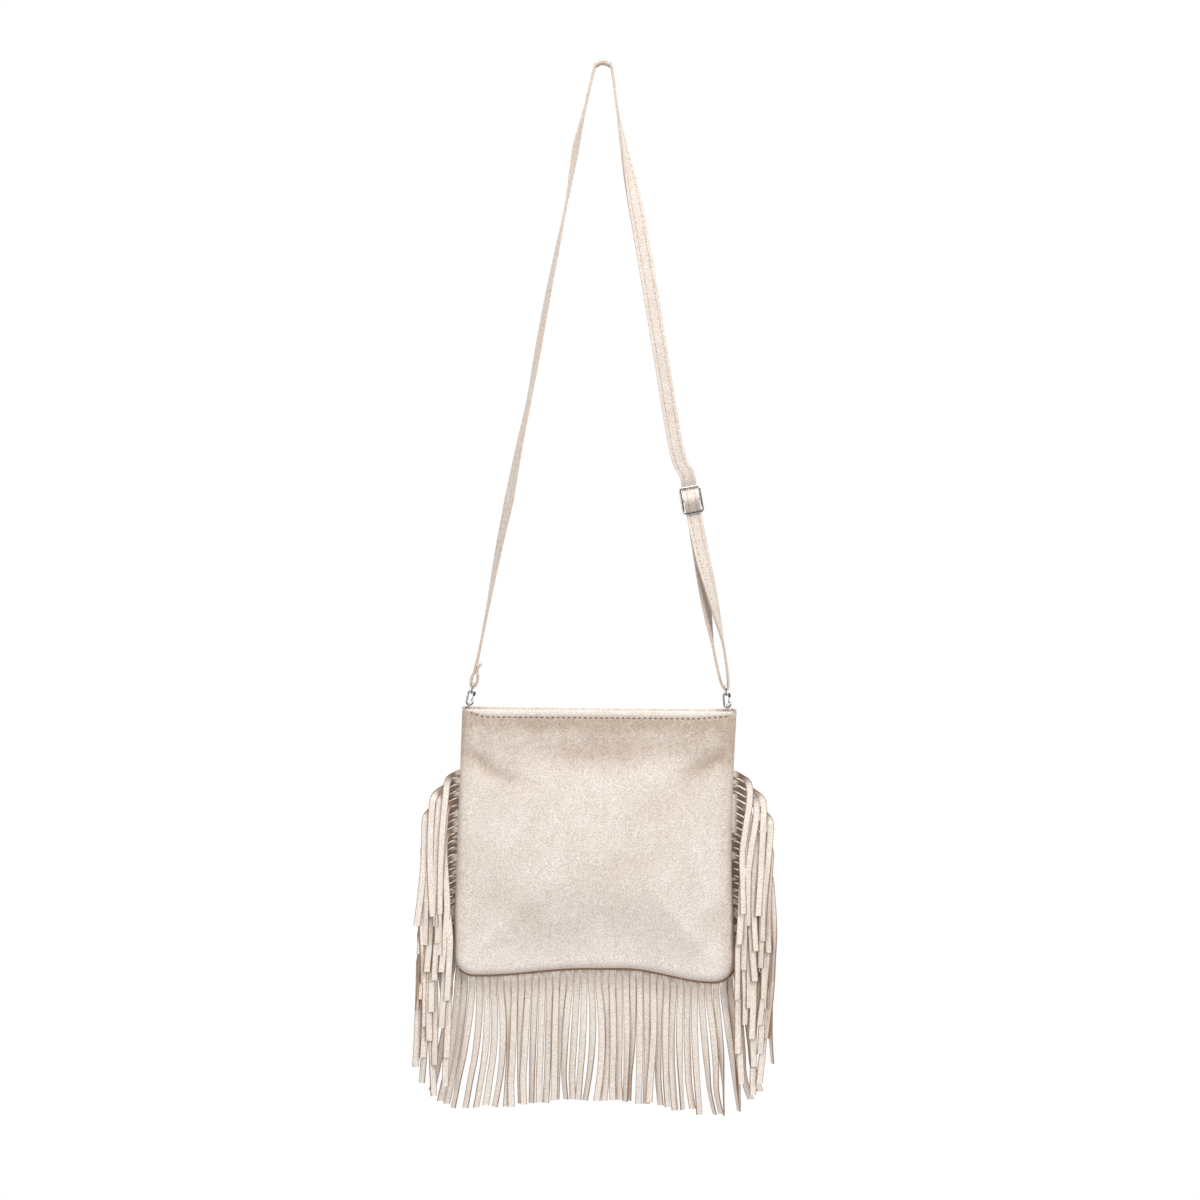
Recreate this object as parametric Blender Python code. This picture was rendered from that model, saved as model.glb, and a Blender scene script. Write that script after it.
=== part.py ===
import math

import bmesh
import bpy
import numpy as np
from mathutils import Matrix, Vector

# driving dimensions in metres, with the origin where the strap hangs, +Z up and the front towards -Y
STRAP_WIDTH = 0.015
STRAP_THICKNESS = 0.0022
SUEDE_THICKNESS = 0.0012
GAP = 0.0003

# seam outline of the bag body
TOP_LEFT = Vector((-0.140, 0, -0.6455))
TOP_RIGHT = Vector((0.133, 0, -0.648))
LEFT_FLARE = 0.010
RIGHT_WAIST = 0.005
BOTTOM_Z = -0.9035
LEFT_DROOP = 0.0065
RIGHT_DROOP = 0.0135
CORNER_RADIUS = 0.022
BACK_RISE = 0.0025

# depth of the bag body
SEAM_HALF = 0.00165
ROLL_RADIUS = 0.0063
PILLOW = 0.0085
ALLOWANCE = 0.006
MOUTH_ALLOWANCE = 0.0022
HEM_GAP = 0.0019
HEM_DEPTH = 0.012
BALANCE = 0.00135

# lining
LINING_THICKNESS = 0.0005
LINING_INSET = 0.0072
LINING_TOP = 0.0125
LINING_MOUTH_HALF = 0.0040
LINING_EDGE_HALF = 0.0007
LINING_SWELL = 0.006

# fringe
STRIP_WIDTH = 0.0064
STRIP_PITCH = 0.0070
FRINGE_THICKNESS = 0.0013
FRINGE_INSIDE = 0.005
FRINGE_OUTSIDE = 0.0025
FRINGE_START_Z = -0.703
SIDE_LENGTH = 0.147
BOTTOM_LENGTH = 0.131
LANES = 4
LANE_STEP = 0.0070
FIRST_LANE = 0.0110
FIRST_LAYER = 0.0022
LAYER_STEP = 0.0017
RUNG_SLOPE = 36
TURN_STEP = 0.0045
HANG_Y = -0.0054
LENGTH_SPREAD = 0.03
SIDE_SWAY = 0.0003
CORNER_SPREAD = 0.0058
CORNER_BEHIND = 0.0017
ROOT_STEP = 0.0028
SECOND_STEP = 0.0044
# forward dip of a rung after its root and at its end, for each lane from the inner to the outer
LANE_DIPS = ((-0.0010, -0.0042), (-0.0010, -0.0027), (-0.0002, -0.0004), (-0.0002, -0.0004))
LANE_ORDER = (0, 2, 1, 3)
# the first steps of a bottom strip: share of its turn to hanging, length, share of its way sideways
FIRST_STEPS = ((0.35, 0.005, 0.4), (0.8, 0.006, 0.9))

# clasps: place of the bar that the strap goes round, and tilt of the clasp in degrees
LEFT_BAR = Vector((-0.1296, 0, -0.6200))
LEFT_TILT = -12.0
RIGHT_BAR = Vector((0.1225, 0, -0.6222))
RIGHT_TILT = 5.6
BAR_RADIUS = 0.0011
EYE_HEIGHT = 0.0050
EYE_CORNER = 0.0018
EYE_SLACK = 0.0008
HOOK_HALF = 0.0031
HOOK_BOTTOM = 0.0212
# back of the hook from the collar down, as distances across and along the clasp
HOOK_NECK = ((-0.0019, 0.0075), (-0.0029, 0.0088))
HOOK_BACK = (0.0104, 0.0145)
RING_HALF = 0.0042
RING_CORNER = 0.0017
RING_WIRE = 0.0010
PIVOT_DOWN = 0.0102
WRAP_GAP = 0.0004
SHANK_RADIUS = 0.0009
SHANK_LENGTH = 0.0044
SHANK_DOWN = 0.0021
HEAD_RADIUS = 0.0015
HEAD_LENGTH = 0.0008
HEAD_DOWN = 0.0043
COLLAR_RADIUS = 0.0024
COLLAR_LENGTH = 0.0021
COLLAR_DOWN = 0.00755
COLLAR_BORE = 0.0013
CHEEK_SIZE = (0.0026, 0.0008, 0.0042)
CHEEK_ACROSS = 0.0029
CHEEK_DOWN = 0.0093
CHEEK_Y = 0.00125
MOUTH_HEIGHT = 0.0046
PIN_RADIUS = 0.0005
PIN_LENGTH = 0.0031
LEVER_RADIUS = 0.00125
LEVER_BORE = 0.0008
LEVER_THICKNESS = 0.0009
LEVER_WIDTH = 0.0008
LEVER_HUB = 0.0010
LEVER_TIP = (0.0012, 0.0168)
TAB_THICKNESS = 0.0010
TAB_WIDTH = 0.0048
TAB_LEG = 0.0068

# slide
SLIDE_CENTRE = Vector((0.0885, 0, -0.4360))
SLIDE_WIRE = 0.00125
SLIDE_HALF_WIDTH = 0.00975
SLIDE_HALF_HEIGHT = 0.01275
SLIDE_CORNER = 0.003

# run of the strap between the top and the left bar, and between the slide and the top: share of
# the way across, share of the way down, turn of the band in degrees and number of parts after it
STRAP_LEFT = ((0.143, 0.074, 90, 2), (0.212, 0.139, 72, 2), (0.278, 0.219, 90, 2),
              (0.355, 0.300, 101, 3), (0.432, 0.381, 106, 3), (0.501, 0.461, 108, 2),
              (0.571, 0.542, 102, 2), (0.652, 0.623, 110, 2), (0.725, 0.703, 122, 3),
              (0.806, 0.784, 110, 3), (0.883, 0.871, 97, 2))
STRAP_RIGHT = ((0.831, 0.885, 0, 2), (0.644, 0.656, 4, 3), (0.458, 0.427, 8, 3),
               (0.356, 0.312, 22, 3), (0.243, 0.197, 66, 2), (0.164, 0.105, 88, 2))
# both strands between the slide and the right bar: share of the way down, distance outwards, turn
# and number of parts
BACK_STRAND = ((0.137, -0.0040, 0, 3), (0.317, -0.0036, 18, 4), (0.555, -0.0048, 55, 4),
               (0.766, -0.0052, 86, 3))
FRONT_STRAND = ((0.766, 0.0052, 86, 4), (0.555, 0.0040, 55, 4), (0.317, 0.0020, 18, 3),
                (0.137, 0.0, 0, 2))
STRAND_END = 0.010
STRAND_OUT = 0.0042
# round the slide, as distances along it and outwards: the sewn end, the start of the back strand, the
# front strand on both flanks of the middle bar and on its crest, and the loose run above the slide
SEWN_END = (0.0044, -0.0002)
SEWN_TURN = (0.0024, 0.0019)
BACK_START = (0.0055, -0.0042)
STRAND_GAP = 0.0003
BAR_FLANK = (0.0050, 0.0032)
BAR_CREST = (0.0025, 0.0007)
FRAME_LEAD = 0.0016
LOOSE_RUN = 0.026
# at the left clasp, as distances along it and across it: the run down to the bar and the sewn end
LEFT_RUN = ((-0.030, -0.0014), (-0.019, -0.0022), (-0.008, -0.0043))
LEFT_END = ((-0.008, 0.0046), (-0.016, 0.0018), (-0.0235, 0.0042))
TOP_RADIUS = 0.0095
LEFT_SLANT = -0.2
RIGHT_SLANT = 0.15

# zip
ZIP_Z = -0.6520
ZIP_LEFT = -0.1235
ZIP_RIGHT = 0.1130
COIL_RADIUS = 0.00075
COIL_Y = 0.00165
TAPE_THICKNESS = 0.0005
TAPE_OUTER = 0.0046
TAPE_DROP = 0.0045
TAPE_FOLD = 0.0006
COIL_END = 0.0035
STOP_SIZE = (0.0020, 0.0046, 0.0016)
STOP_BEVEL = 0.0003
STOP_IN = 0.0015
SLIDER_X = 0.1030
SLIDER_LENGTH = 0.0085
SLIDER_WIDTH = 0.0072
SLIDER_PLATE = 0.0007
SLIDER_GAP = 0.00035
POST_LENGTH = 0.0030
POST_FORWARD = 0.0022
POST_GAP = 0.0004
BRIDGE_RADIUS = 0.0022
BRIDGE_WIRE = 0.00045
PULL_LENGTH = 0.0140
PULL_WIRE = 0.00035
PULL_HALF = 0.0019
PULL_LOOP = 0.0060
PULL_NECK_HALF = 0.0009
PULL_TAB = (0.0036, 0.0008)
PLATE_BEVEL = 0.0002

COLOURS = {
    "suede": (0.80, 0.69, 0.60, 1),
    "metal": (0.80, 0.80, 0.78, 1),
    "cloth": (0.74, 0.64, 0.55, 1),
    "zip": (0.72, 0.62, 0.53, 1),
}


def clear_scene():
    for thing in list(bpy.data.objects):
        bpy.data.objects.remove(thing)


def paint(thing, kind, roughness, metallic=0.0):
    material = bpy.data.materials.new(thing.name + "_material")
    material.use_nodes = True
    shader = material.node_tree.nodes["Principled BSDF"]
    shader.inputs["Base Color"].default_value = COLOURS[kind]
    shader.inputs["Roughness"].default_value = roughness
    shader.inputs["Metallic"].default_value = metallic
    thing.data.materials.clear()
    thing.data.materials.append(material)


def finish_mesh(name, bm, kind="suede", roughness=0.9, metallic=0.0, smooth=False):
    bmesh.ops.recalc_face_normals(bm, faces=bm.faces)
    mesh = bpy.data.meshes.new(name)
    bm.to_mesh(mesh)
    bm.free()
    thing = bpy.data.objects.new(name, mesh)
    bpy.context.collection.objects.link(thing)
    if smooth:
        mesh.shade_smooth()
    paint(thing, kind, roughness, metallic)
    return thing


def blend(start, end, value):
    value = min(1.0, max(0.0, (value - start) / (end - start)))
    return value * value * (3 - 2 * value)


def mix(first, second, share):
    return first + (second - first) * share


# outline and depth of the bag body

def top_z(x):
    share = (x - TOP_LEFT.x) / (TOP_RIGHT.x - TOP_LEFT.x)
    return mix(TOP_LEFT.z, TOP_RIGHT.z, share)


def bottom_z(x):
    left = blend(-0.02, -0.12, x)
    right = blend(0.02, 0.11, x)
    return BOTTOM_Z - LEFT_DROOP * left - RIGHT_DROOP * right


def outline(u, v):
    height = TOP_LEFT.z - BOTTOM_Z
    rounded = max(0.0, 1 - (1 - v) * height / CORNER_RADIUS)
    inset = CORNER_RADIUS * (1 - math.sqrt(max(0.0, 1 - rounded * rounded)))
    left = TOP_LEFT.x - LEFT_FLARE * v + inset
    right = TOP_RIGHT.x - RIGHT_WAIST * math.sin(math.pi * v) - inset
    x = mix(left, right, (u + 1) / 2)
    return x, mix(top_z(x), bottom_z(x), v)


def seam_route():
    height = TOP_LEFT.z - BOTTOM_Z
    rows = [i / 90 for i in range(91)]
    turn = [1 - CORNER_RADIUS / height * (1 - math.sin(math.radians(a))) for a in range(4, 91, 4)]
    rows = [v for v in rows if v < turn[0]] + turn
    points = [outline(-1, v) for v in rows]
    points += [outline(-1 + i / 50, 1) for i in range(1, 100)]
    points += [outline(1, v) for v in reversed(rows)]
    return np.array(points)


SEAM = seam_route()


def seam_distance(x, z):
    starts = SEAM[:-1]
    sides = SEAM[1:] - starts
    away = np.array([x, z]) - starts
    share = np.clip((away * sides).sum(axis=1) / (sides * sides).sum(axis=1), 0, 1)
    gaps = np.hypot(*(away - sides * share[:, None]).T)
    return float(gaps.min())


def half_depth(x, z):
    distance = seam_distance(x, z)
    near = ROLL_RADIUS - min(distance, ROLL_RADIUS)
    roll = math.sqrt(ROLL_RADIUS ** 2 - near * near)
    down = (top_z(x) - z) / (top_z(x) - BOTTOM_Z)
    full = blend(0.0, 0.085, distance - ROLL_RADIUS / 2) * blend(0.0, 0.7, down)
    return SEAM_HALF + roll + PILLOW * full


def panel_columns():
    near = [0, 0.0011, 0.0026, 0.0044, 0.0068, 0.013, 0.030, 0.060, 0.098]
    half = (TOP_RIGHT.x - TOP_LEFT.x) / 2
    left = [-1 + d / half for d in near]
    return left + [0] + [-u for u in reversed(left)]


def panel_rows(top_drop):
    height = TOP_LEFT.z - BOTTOM_Z
    upper = [top_drop, 0.018, 0.045, 0.080, 0.120, 0.160, 0.195, 0.220]
    turn = [height - CORNER_RADIUS * (1 - math.sin(math.radians(a))) for a in (0, 18, 36, 54, 72, 90)]
    return [d / height for d in upper + turn]


def grid_mesh(columns, rows, place):
    bm = bmesh.new()
    bmesh.ops.create_grid(bm, x_segments=len(columns) - 1, y_segments=len(rows) - 1, size=0.5)
    bm.verts.ensure_lookup_table()
    across = len(columns)
    for vertex in bm.verts:
        row, column = divmod(vertex.index, across)
        vertex.co = place(columns[column], rows[row])
    return bm


def extrude_border(bm, edges, moves):
    # each move takes the vertex where the border started and gives the place of its next copy
    base = {v: v.co.copy() for e in edges for v in e.verts}
    for move in moves:
        grown = bmesh.ops.extrude_edge_only(bm, edges=edges)["geom"]
        fresh = [g for g in grown if isinstance(g, bmesh.types.BMVert)]
        edges = [g for g in grown if isinstance(g, bmesh.types.BMEdge) and g.is_boundary]
        edges = [e for e in edges if all(v in fresh for v in e.verts)]
        placed = {}
        for vertex in fresh:
            source = min(base, key=lambda b: (b.co - vertex.co).length_squared)
            placed[vertex] = (move(base[source]), base[source])
        base = {}
        for vertex, (spot, start) in placed.items():
            vertex.co = spot
            base[vertex] = start
    return edges


def thicken(thing, thickness):
    solid = thing.modifiers.new("thickness", "SOLIDIFY")
    solid.thickness = thickness
    solid.offset = 0
    solid.use_even_offset = True
    solid.use_quality_normals = True


def inward(x, z):
    away = np.hypot(SEAM[:, 0] - x, SEAM[:, 1] - z)
    near = int(np.argmin(away))
    ahead = SEAM[min(near + 1, len(SEAM) - 1)] - SEAM[max(near - 1, 0)]
    ahead = ahead / np.hypot(*ahead)
    return Vector((-ahead[1], 0, ahead[0]))


def panel(name, side, rise):
    drop = HEM_GAP / 2
    rows = panel_rows(drop)

    def place(u, v):
        x, z = outline(u, v)
        z += rise * (1 - blend(0, 0.3, v))
        return Vector((x, side * half_depth(x, z), z))

    bm = grid_mesh(panel_columns(), rows, place)
    bm.verts.ensure_lookup_table()
    across = len(panel_columns())

    def spot(vertex):
        return divmod(vertex.index, across)

    border = []
    mouth = []
    for edge in bm.edges:
        if not edge.is_boundary:
            continue
        places = [spot(v) for v in edge.verts]
        if all(r == 0 for r, c in places):
            if all(2 <= c <= across - 3 for r, c in places):
                mouth.append(edge)
        else:
            border.append(edge)

    def allowance(share):
        def move(start):
            width = mix(MOUTH_ALLOWANCE, ALLOWANCE, blend(0.012, 0.024, top_z(start.x) - start.z))
            away = inward(start.x, start.z) * width * share
            return Vector((start.x, side * SEAM_HALF, start.z)) + away
        return move

    def hem(angle, down):
        def move(start):
            radius = HEM_GAP / 2
            back = radius * (1 - math.cos(math.radians(angle)))
            lift = radius * math.sin(math.radians(angle))
            return Vector((start.x, start.y - side * back, start.z + lift - down))
        return move

    extrude_border(bm, border, [allowance(0.3), allowance(1.0)])
    extrude_border(bm, mouth, [hem(45, 0), hem(90, 0), hem(135, 0), hem(180, 0),
                               hem(180, HEM_DEPTH / 2), hem(180, HEM_DEPTH)])
    thing = finish_mesh(name, bm, smooth=True)
    thicken(thing, SUEDE_THICKNESS)
    return thing


def lining_rows():
    height = TOP_LEFT.z - BOTTOM_Z
    upper = [LINING_TOP, 0.0165, 0.024, 0.060, 0.110, 0.165, 0.210, 0.234, 0.245, 0.253]
    return [d / height for d in upper] + [1.0]


def lining_columns():
    half = (TOP_RIGHT.x - TOP_LEFT.x) / 2
    left = [-1 + d / half for d in (0, 0.002, 0.006, 0.020, 0.055, 0.095)]
    return left + [0] + [-u for u in reversed(left)]


def lining_side(side):
    def place(u, v):
        x, z = outline(u, v)
        x += math.copysign(LINING_INSET, -u) * abs(u) ** 3
        z += LINING_INSET * v ** 8
        if abs(u) == 1 or v == 1:
            return Vector((x, 0, z))
        edge = min(seam_distance(x, z), z - bottom_z(x)) - LINING_INSET
        full = half_depth(x, z) - SUEDE_THICKNESS - LINING_THICKNESS - GAP
        full = mix(LINING_MOUTH_HALF, full, blend(LINING_TOP, 0.030, top_z(x) - z))
        near = 1 - min(1.0, max(edge, 0) / LINING_SWELL)
        return Vector((x, side * max(LINING_EDGE_HALF, full * math.sqrt(1 - near * near)), z))
    return grid_mesh(lining_columns(), lining_rows(), place)


def lining():
    bm = lining_side(-1)
    back = lining_side(1)
    mesh = bpy.data.meshes.new("back")
    back.to_mesh(mesh)
    back.free()
    bm.from_mesh(mesh)
    bpy.data.meshes.remove(mesh)
    bmesh.ops.remove_doubles(bm, verts=bm.verts, dist=0.0001)
    thing = finish_mesh("lining", bm, kind="cloth", smooth=True)
    thicken(thing, LINING_THICKNESS)
    return thing


# bands and strips

def place_ring(face, codes, centre, across, through):
    for vertex, (a, b) in zip(face.verts, codes):
        vertex.co = centre + across * a + through * b


def band(name, stations, width, thickness, kind="suede", roughness=0.9):
    # stations are pairs of a centre and a width direction, from one end to the other
    bm = bmesh.new()
    bmesh.ops.create_cube(bm, size=1)
    centres = [s[0] for s in stations]
    halves = (width / 2, thickness / 2)
    bm.faces.ensure_lookup_table()
    end = max(bm.faces, key=lambda f: f.calc_center_median().z)
    start = min(bm.faces, key=lambda f: f.calc_center_median().z)

    def frame(index):
        ahead = centres[min(index + 1, len(centres) - 1)] - centres[max(index - 1, 0)]
        across = stations[index][1]
        across = (across - ahead * across.dot(ahead) / ahead.length_squared).normalized()
        return centres[index], across, across.cross(ahead.normalized())

    def codes(face):
        return [(math.copysign(halves[0], v.co.x), math.copysign(halves[1], v.co.y)) for v in face.verts]

    end_codes = codes(end)
    start_codes = codes(start)
    place_ring(start, start_codes, *frame(0))
    place_ring(end, end_codes, *frame(1))
    for index in range(2, len(stations)):
        end = bmesh.ops.extrude_discrete_faces(bm, faces=[end])["faces"][0]
        place_ring(end, end_codes, *frame(index))
    return finish_mesh(name, bm, kind=kind, roughness=roughness, smooth=False)


def smooth_route(stations, parts):
    # runs a soft curve through the stations, with the number of parts after each one
    def value(a, b, c, d, t):
        bend = (a * 2 - b * 5 + c * 4 - d) * t * t
        return (b * 2 + (c - a) * t + bend + (b * 3 - a - c * 3 + d) * t ** 3) / 2

    route = []
    last = len(stations) - 1
    for index in range(last):
        four = [stations[min(max(index + k, 0), last)] for k in (-1, 0, 1, 2)]
        count = parts[index]
        for step in range(count):
            t = step / count
            centre = value(*[s[0] for s in four], t)
            across = four[1][1].lerp(four[2][1], t).normalized()
            route.append((centre, across))
    route.append(stations[last])
    return route


def tilt_frame(degrees):
    # direction down along a piece that leans by so many degrees towards +X, and the one across it
    angle = math.radians(degrees)
    down = Vector((math.sin(angle), 0, -math.cos(angle)))
    across = Vector((math.cos(angle), 0, math.sin(angle)))
    return down, across


def hung(end, station, slant):
    # place and width direction of a station on the way from the top to the end
    across, down, degrees, parts = station
    angle = math.radians(degrees)
    width = Vector((math.cos(angle), math.sin(angle), slant * math.cos(angle)))
    return Vector((end.x * across, 0, end.z * down)), width


def strap_stations():
    bar_turn = BAR_RADIUS + WRAP_GAP + STRAP_THICKNESS / 2
    slide_down, slide_across = slide_frame()
    length = (RIGHT_BAR - SLIDE_CENTRE).length

    def turned(down, out, degrees):
        angle = math.radians(degrees)
        normal = Vector((0, -math.cos(angle), 0)) + slide_across * math.sin(angle)
        width = slide_across * math.cos(angle) + Vector((0, math.sin(angle), 0))
        return SLIDE_CENTRE + slide_down * down + normal * out, width

    centre_turn = SLIDE_WIRE + WRAP_GAP + STRAP_THICKNESS / 2
    behind = -centre_turn
    over = centre_turn + STRAP_THICKNESS + GAP * 3
    second = behind - STRAP_THICKNESS - GAP - STRAND_GAP
    lower = SLIDE_HALF_HEIGHT
    plan = []

    def add(station, parts):
        plan.append((station, parts))

    # sewn end round the middle bar of the slide, then the back strand down to the right clasp
    add(turned(*SEWN_END, 0), 1)
    add(turned(*SEWN_TURN, 0), 1)
    for angle in (0, 45, 90, 135, 180):
        turn = math.radians(angle)
        add(turned(-centre_turn * math.sin(turn), centre_turn * math.cos(turn), 0), 1)
    add(turned(*BACK_START, 0), 1)
    add(turned(lower, second, 0), 2)
    for share, out, degrees, parts in BACK_STRAND:
        add(turned(length * share, out, degrees), parts)
    add(turned(length - STRAND_END, -STRAND_OUT, 90), 1)
    for angle in (0, 36, 72, 108, 144, 180):
        turn = math.radians(angle)
        out = bar_turn * math.cos(turn)
        add(turned(length + bar_turn * math.sin(turn), -out, 90), 1)
    # front strand back up, through the slide and on to the top
    add(turned(length - STRAND_END, STRAND_OUT, 90), 3)
    for share, out, degrees, parts in FRONT_STRAND:
        add(turned(length * share, out, degrees), parts)
    crest, sunk = BAR_CREST
    flank, risen = BAR_FLANK
    slanted = centre_turn * math.sin(math.radians(30))
    shallow = -centre_turn * math.cos(math.radians(30))
    for down, out in ((lower + FRAME_LEAD, behind), (lower, behind), (lower - slanted, shallow),
                      (flank, risen), (crest, over - sunk), (0, over), (-crest, over - sunk),
                      (-flank, risen), (slanted - lower, shallow), (-lower, behind)):
        add(turned(down, out, 0), 1)
    add(turned(-lower - FRAME_LEAD, behind, 0), 2)
    add(turned(-LOOSE_RUN, 0, 0), 2)
    for station in STRAP_RIGHT:
        add(hung(SLIDE_CENTRE, station, RIGHT_SLANT), station[3])
    flat = Vector((0, 1, 0))
    for angle in (15, 52, 90, 128, 165):
        turn = math.radians(angle)
        height = STRAP_THICKNESS / 2 - TOP_RADIUS * (1 - math.sin(turn))
        add((Vector((TOP_RADIUS * math.cos(turn), 0, height)), flat), 2 if angle == 165 else 1)
    for station in STRAP_LEFT:
        add(hung(LEFT_BAR, station, LEFT_SLANT), station[3])
    # round the bar of the left clasp, with the sewn end on the outer side
    down, across = tilt_frame(LEFT_TILT)

    def clasped(drop, out):
        return LEFT_BAR + down * drop + across * out, flat

    for drop, out in LEFT_RUN:
        add(clasped(drop, out), 1)
    for angle in (0, 36, 72, 108, 144, 180):
        turn = math.radians(angle)
        add(clasped(bar_turn * math.sin(turn), -bar_turn * math.cos(turn)), 1)
    for drop, out in LEFT_END:
        add(clasped(drop, out), 1)
    return plan


def slide_frame():
    reach = RIGHT_BAR - SLIDE_CENTRE
    return tilt_frame(math.degrees(math.atan2(reach.x, -reach.z)))


def strap():
    plan = strap_stations()
    route = smooth_route([s for s, parts in plan], [parts for s, parts in plan])
    return band("strap", route, STRAP_WIDTH, STRAP_THICKNESS)


# metal pieces

def tube(name, points, radius, closed):
    # a round wire along the points, as a bevelled curve turned into a mesh
    curve = bpy.data.curves.new(name, "CURVE")
    curve.dimensions = "3D"
    curve.bevel_depth = radius
    curve.bevel_resolution = 2
    curve.use_fill_caps = True
    spline = curve.splines.new("POLY")
    spline.points.add(len(points) - 1)
    for point, spot in zip(spline.points, points):
        point.co = (*spot, 1)
    spline.use_cyclic_u = closed
    holder = bpy.data.objects.new(name + "_curve", curve)
    bpy.context.collection.objects.link(holder)
    ready = holder.evaluated_get(bpy.context.evaluated_depsgraph_get())
    mesh = bpy.data.meshes.new_from_object(ready)
    mesh.name = name
    bpy.data.objects.remove(holder)
    thing = bpy.data.objects.new(name, mesh)
    bpy.context.collection.objects.link(thing)
    bm = bmesh.new()
    bm.from_mesh(mesh)
    bmesh.ops.remove_doubles(bm, verts=bm.verts, dist=0.00001)
    bmesh.ops.recalc_face_normals(bm, faces=bm.faces)
    bm.to_mesh(mesh)
    bm.free()
    mesh.shade_smooth()
    paint(thing, "metal", 0.25, 1.0)
    return thing


def rod(name, centre, axis, radius, length, sides=12):
    bm = bmesh.new()
    turn = Vector((0, 0, 1)).rotation_difference(axis).to_matrix().to_4x4()
    bmesh.ops.create_cone(bm, cap_ends=True, segments=sides, radius1=radius, radius2=radius,
                          depth=length, matrix=Matrix.Translation(centre) @ turn)
    return finish_mesh(name, bm, kind="metal", roughness=0.25, metallic=1.0, smooth=True)


def block(name, centre, axes, size, bevel=0.0, kind="metal", roughness=0.25, metallic=1.0):
    bm = bmesh.new()
    bmesh.ops.create_cube(bm, size=1)
    if bevel:
        for vertex in bm.verts:
            vertex.co = Vector(c * s for c, s in zip(vertex.co, size))
        bmesh.ops.bevel(bm, geom=bm.edges[:], offset=bevel, segments=1, affect="EDGES", profile=0.5,
                        material=-1)
        size = (1, 1, 1)
    for vertex in bm.verts:
        local = [c * s for c, s in zip(vertex.co, size)]
        vertex.co = centre + axes[0] * local[0] + axes[1] * local[1] + axes[2] * local[2]
    return finish_mesh(name, bm, kind=kind, roughness=roughness, metallic=metallic)


def combine(body, others, operation="UNION"):
    for other in others:
        step = body.modifiers.new("join", "BOOLEAN")
        step.operation = operation
        step.solver = "EXACT"
        step.object = other
        ready = body.evaluated_get(bpy.context.evaluated_depsgraph_get())
        mesh = bpy.data.meshes.new_from_object(ready)
        body.modifiers.clear()
        body.data = mesh
        bpy.data.objects.remove(other)
    return body


def loop_points(half_across, half_down, radius, turns=3):
    points = []
    for corner, (sx, sy) in enumerate([(1, 1), (-1, 1), (-1, -1), (1, -1)]):
        for step in range(turns + 1):
            angle = math.radians(90 * corner + 90 * step / turns)
            points.append((sx * (half_across - radius) + radius * math.cos(angle),
                           sy * (half_down - radius) + radius * math.sin(angle)))
    return points


def strap_slide():
    down, across = slide_frame()
    outline_points = loop_points(SLIDE_HALF_WIDTH, SLIDE_HALF_HEIGHT, SLIDE_CORNER)
    frame = tube("strap_slide", [SLIDE_CENTRE + across * a + down * d for a, d in outline_points],
                 SLIDE_WIRE, True)
    bar = rod("slide_bar", SLIDE_CENTRE, across, SLIDE_WIRE * 0.98, SLIDE_HALF_WIDTH * 2, 10)
    return combine(frame, [bar])


def clasp_frame(side):
    bar, tilt = (LEFT_BAR, LEFT_TILT) if side < 0 else (RIGHT_BAR, RIGHT_TILT)
    down, across = tilt_frame(tilt)
    return bar, down, across


def clasp_eye(name, side):
    bar, down, across = clasp_frame(side)
    broad = Vector((0, 1, 0))
    half_width = STRAP_WIDTH / 2 + EYE_SLACK + BAR_RADIUS
    half_height = EYE_HEIGHT / 2
    middle = bar + down * half_height
    points = [middle + broad * a + down * d for a, d in loop_points(half_width, half_height, EYE_CORNER)]
    eye = tube(name, points, BAR_RADIUS, True)
    shank = rod("shank", bar + down * (EYE_HEIGHT + SHANK_DOWN), down, SHANK_RADIUS, SHANK_LENGTH)
    head = rod("head", bar + down * (EYE_HEIGHT + HEAD_DOWN), down, HEAD_RADIUS, HEAD_LENGTH)
    return combine(eye, [shank, head])


def swivel_hook(name, side):
    bar, down, across = clasp_frame(side)
    broad = Vector((0, 1, 0))
    plan = list(HOOK_NECK) + [(-HOOK_HALF, drop) for drop in (*HOOK_BACK, HOOK_BOTTOM - HOOK_HALF)]
    for angle in (30, 60, 90, 120, 150, 180):
        turn = math.radians(angle)
        plan.append((-HOOK_HALF * math.cos(turn), HOOK_BOTTOM - HOOK_HALF + HOOK_HALF * math.sin(turn)))
    plan.append((HOOK_HALF, HOOK_BOTTOM - MOUTH_HEIGHT))
    wire = tube(name, [bar + across * a + down * d for a, d in plan], BAR_RADIUS, False)
    collar = rod("collar", bar + down * COLLAR_DOWN, down, COLLAR_RADIUS, COLLAR_LENGTH, 16)
    parts = [collar]
    for sign in (-1, 1):
        cheek = bar + across * CHEEK_ACROSS + down * CHEEK_DOWN + broad * sign * CHEEK_Y
        parts.append(block("cheek", cheek, (across, broad, down), CHEEK_SIZE))
    parts.append(rod("pin", bar + across * HOOK_HALF + down * PIVOT_DOWN, broad, PIN_RADIUS, PIN_LENGTH))
    body = combine(wire, parts)
    bore = rod("bore", bar + down * COLLAR_DOWN, down, COLLAR_BORE, COLLAR_LENGTH * 2, 16)
    return combine(body, [bore], "DIFFERENCE")


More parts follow.
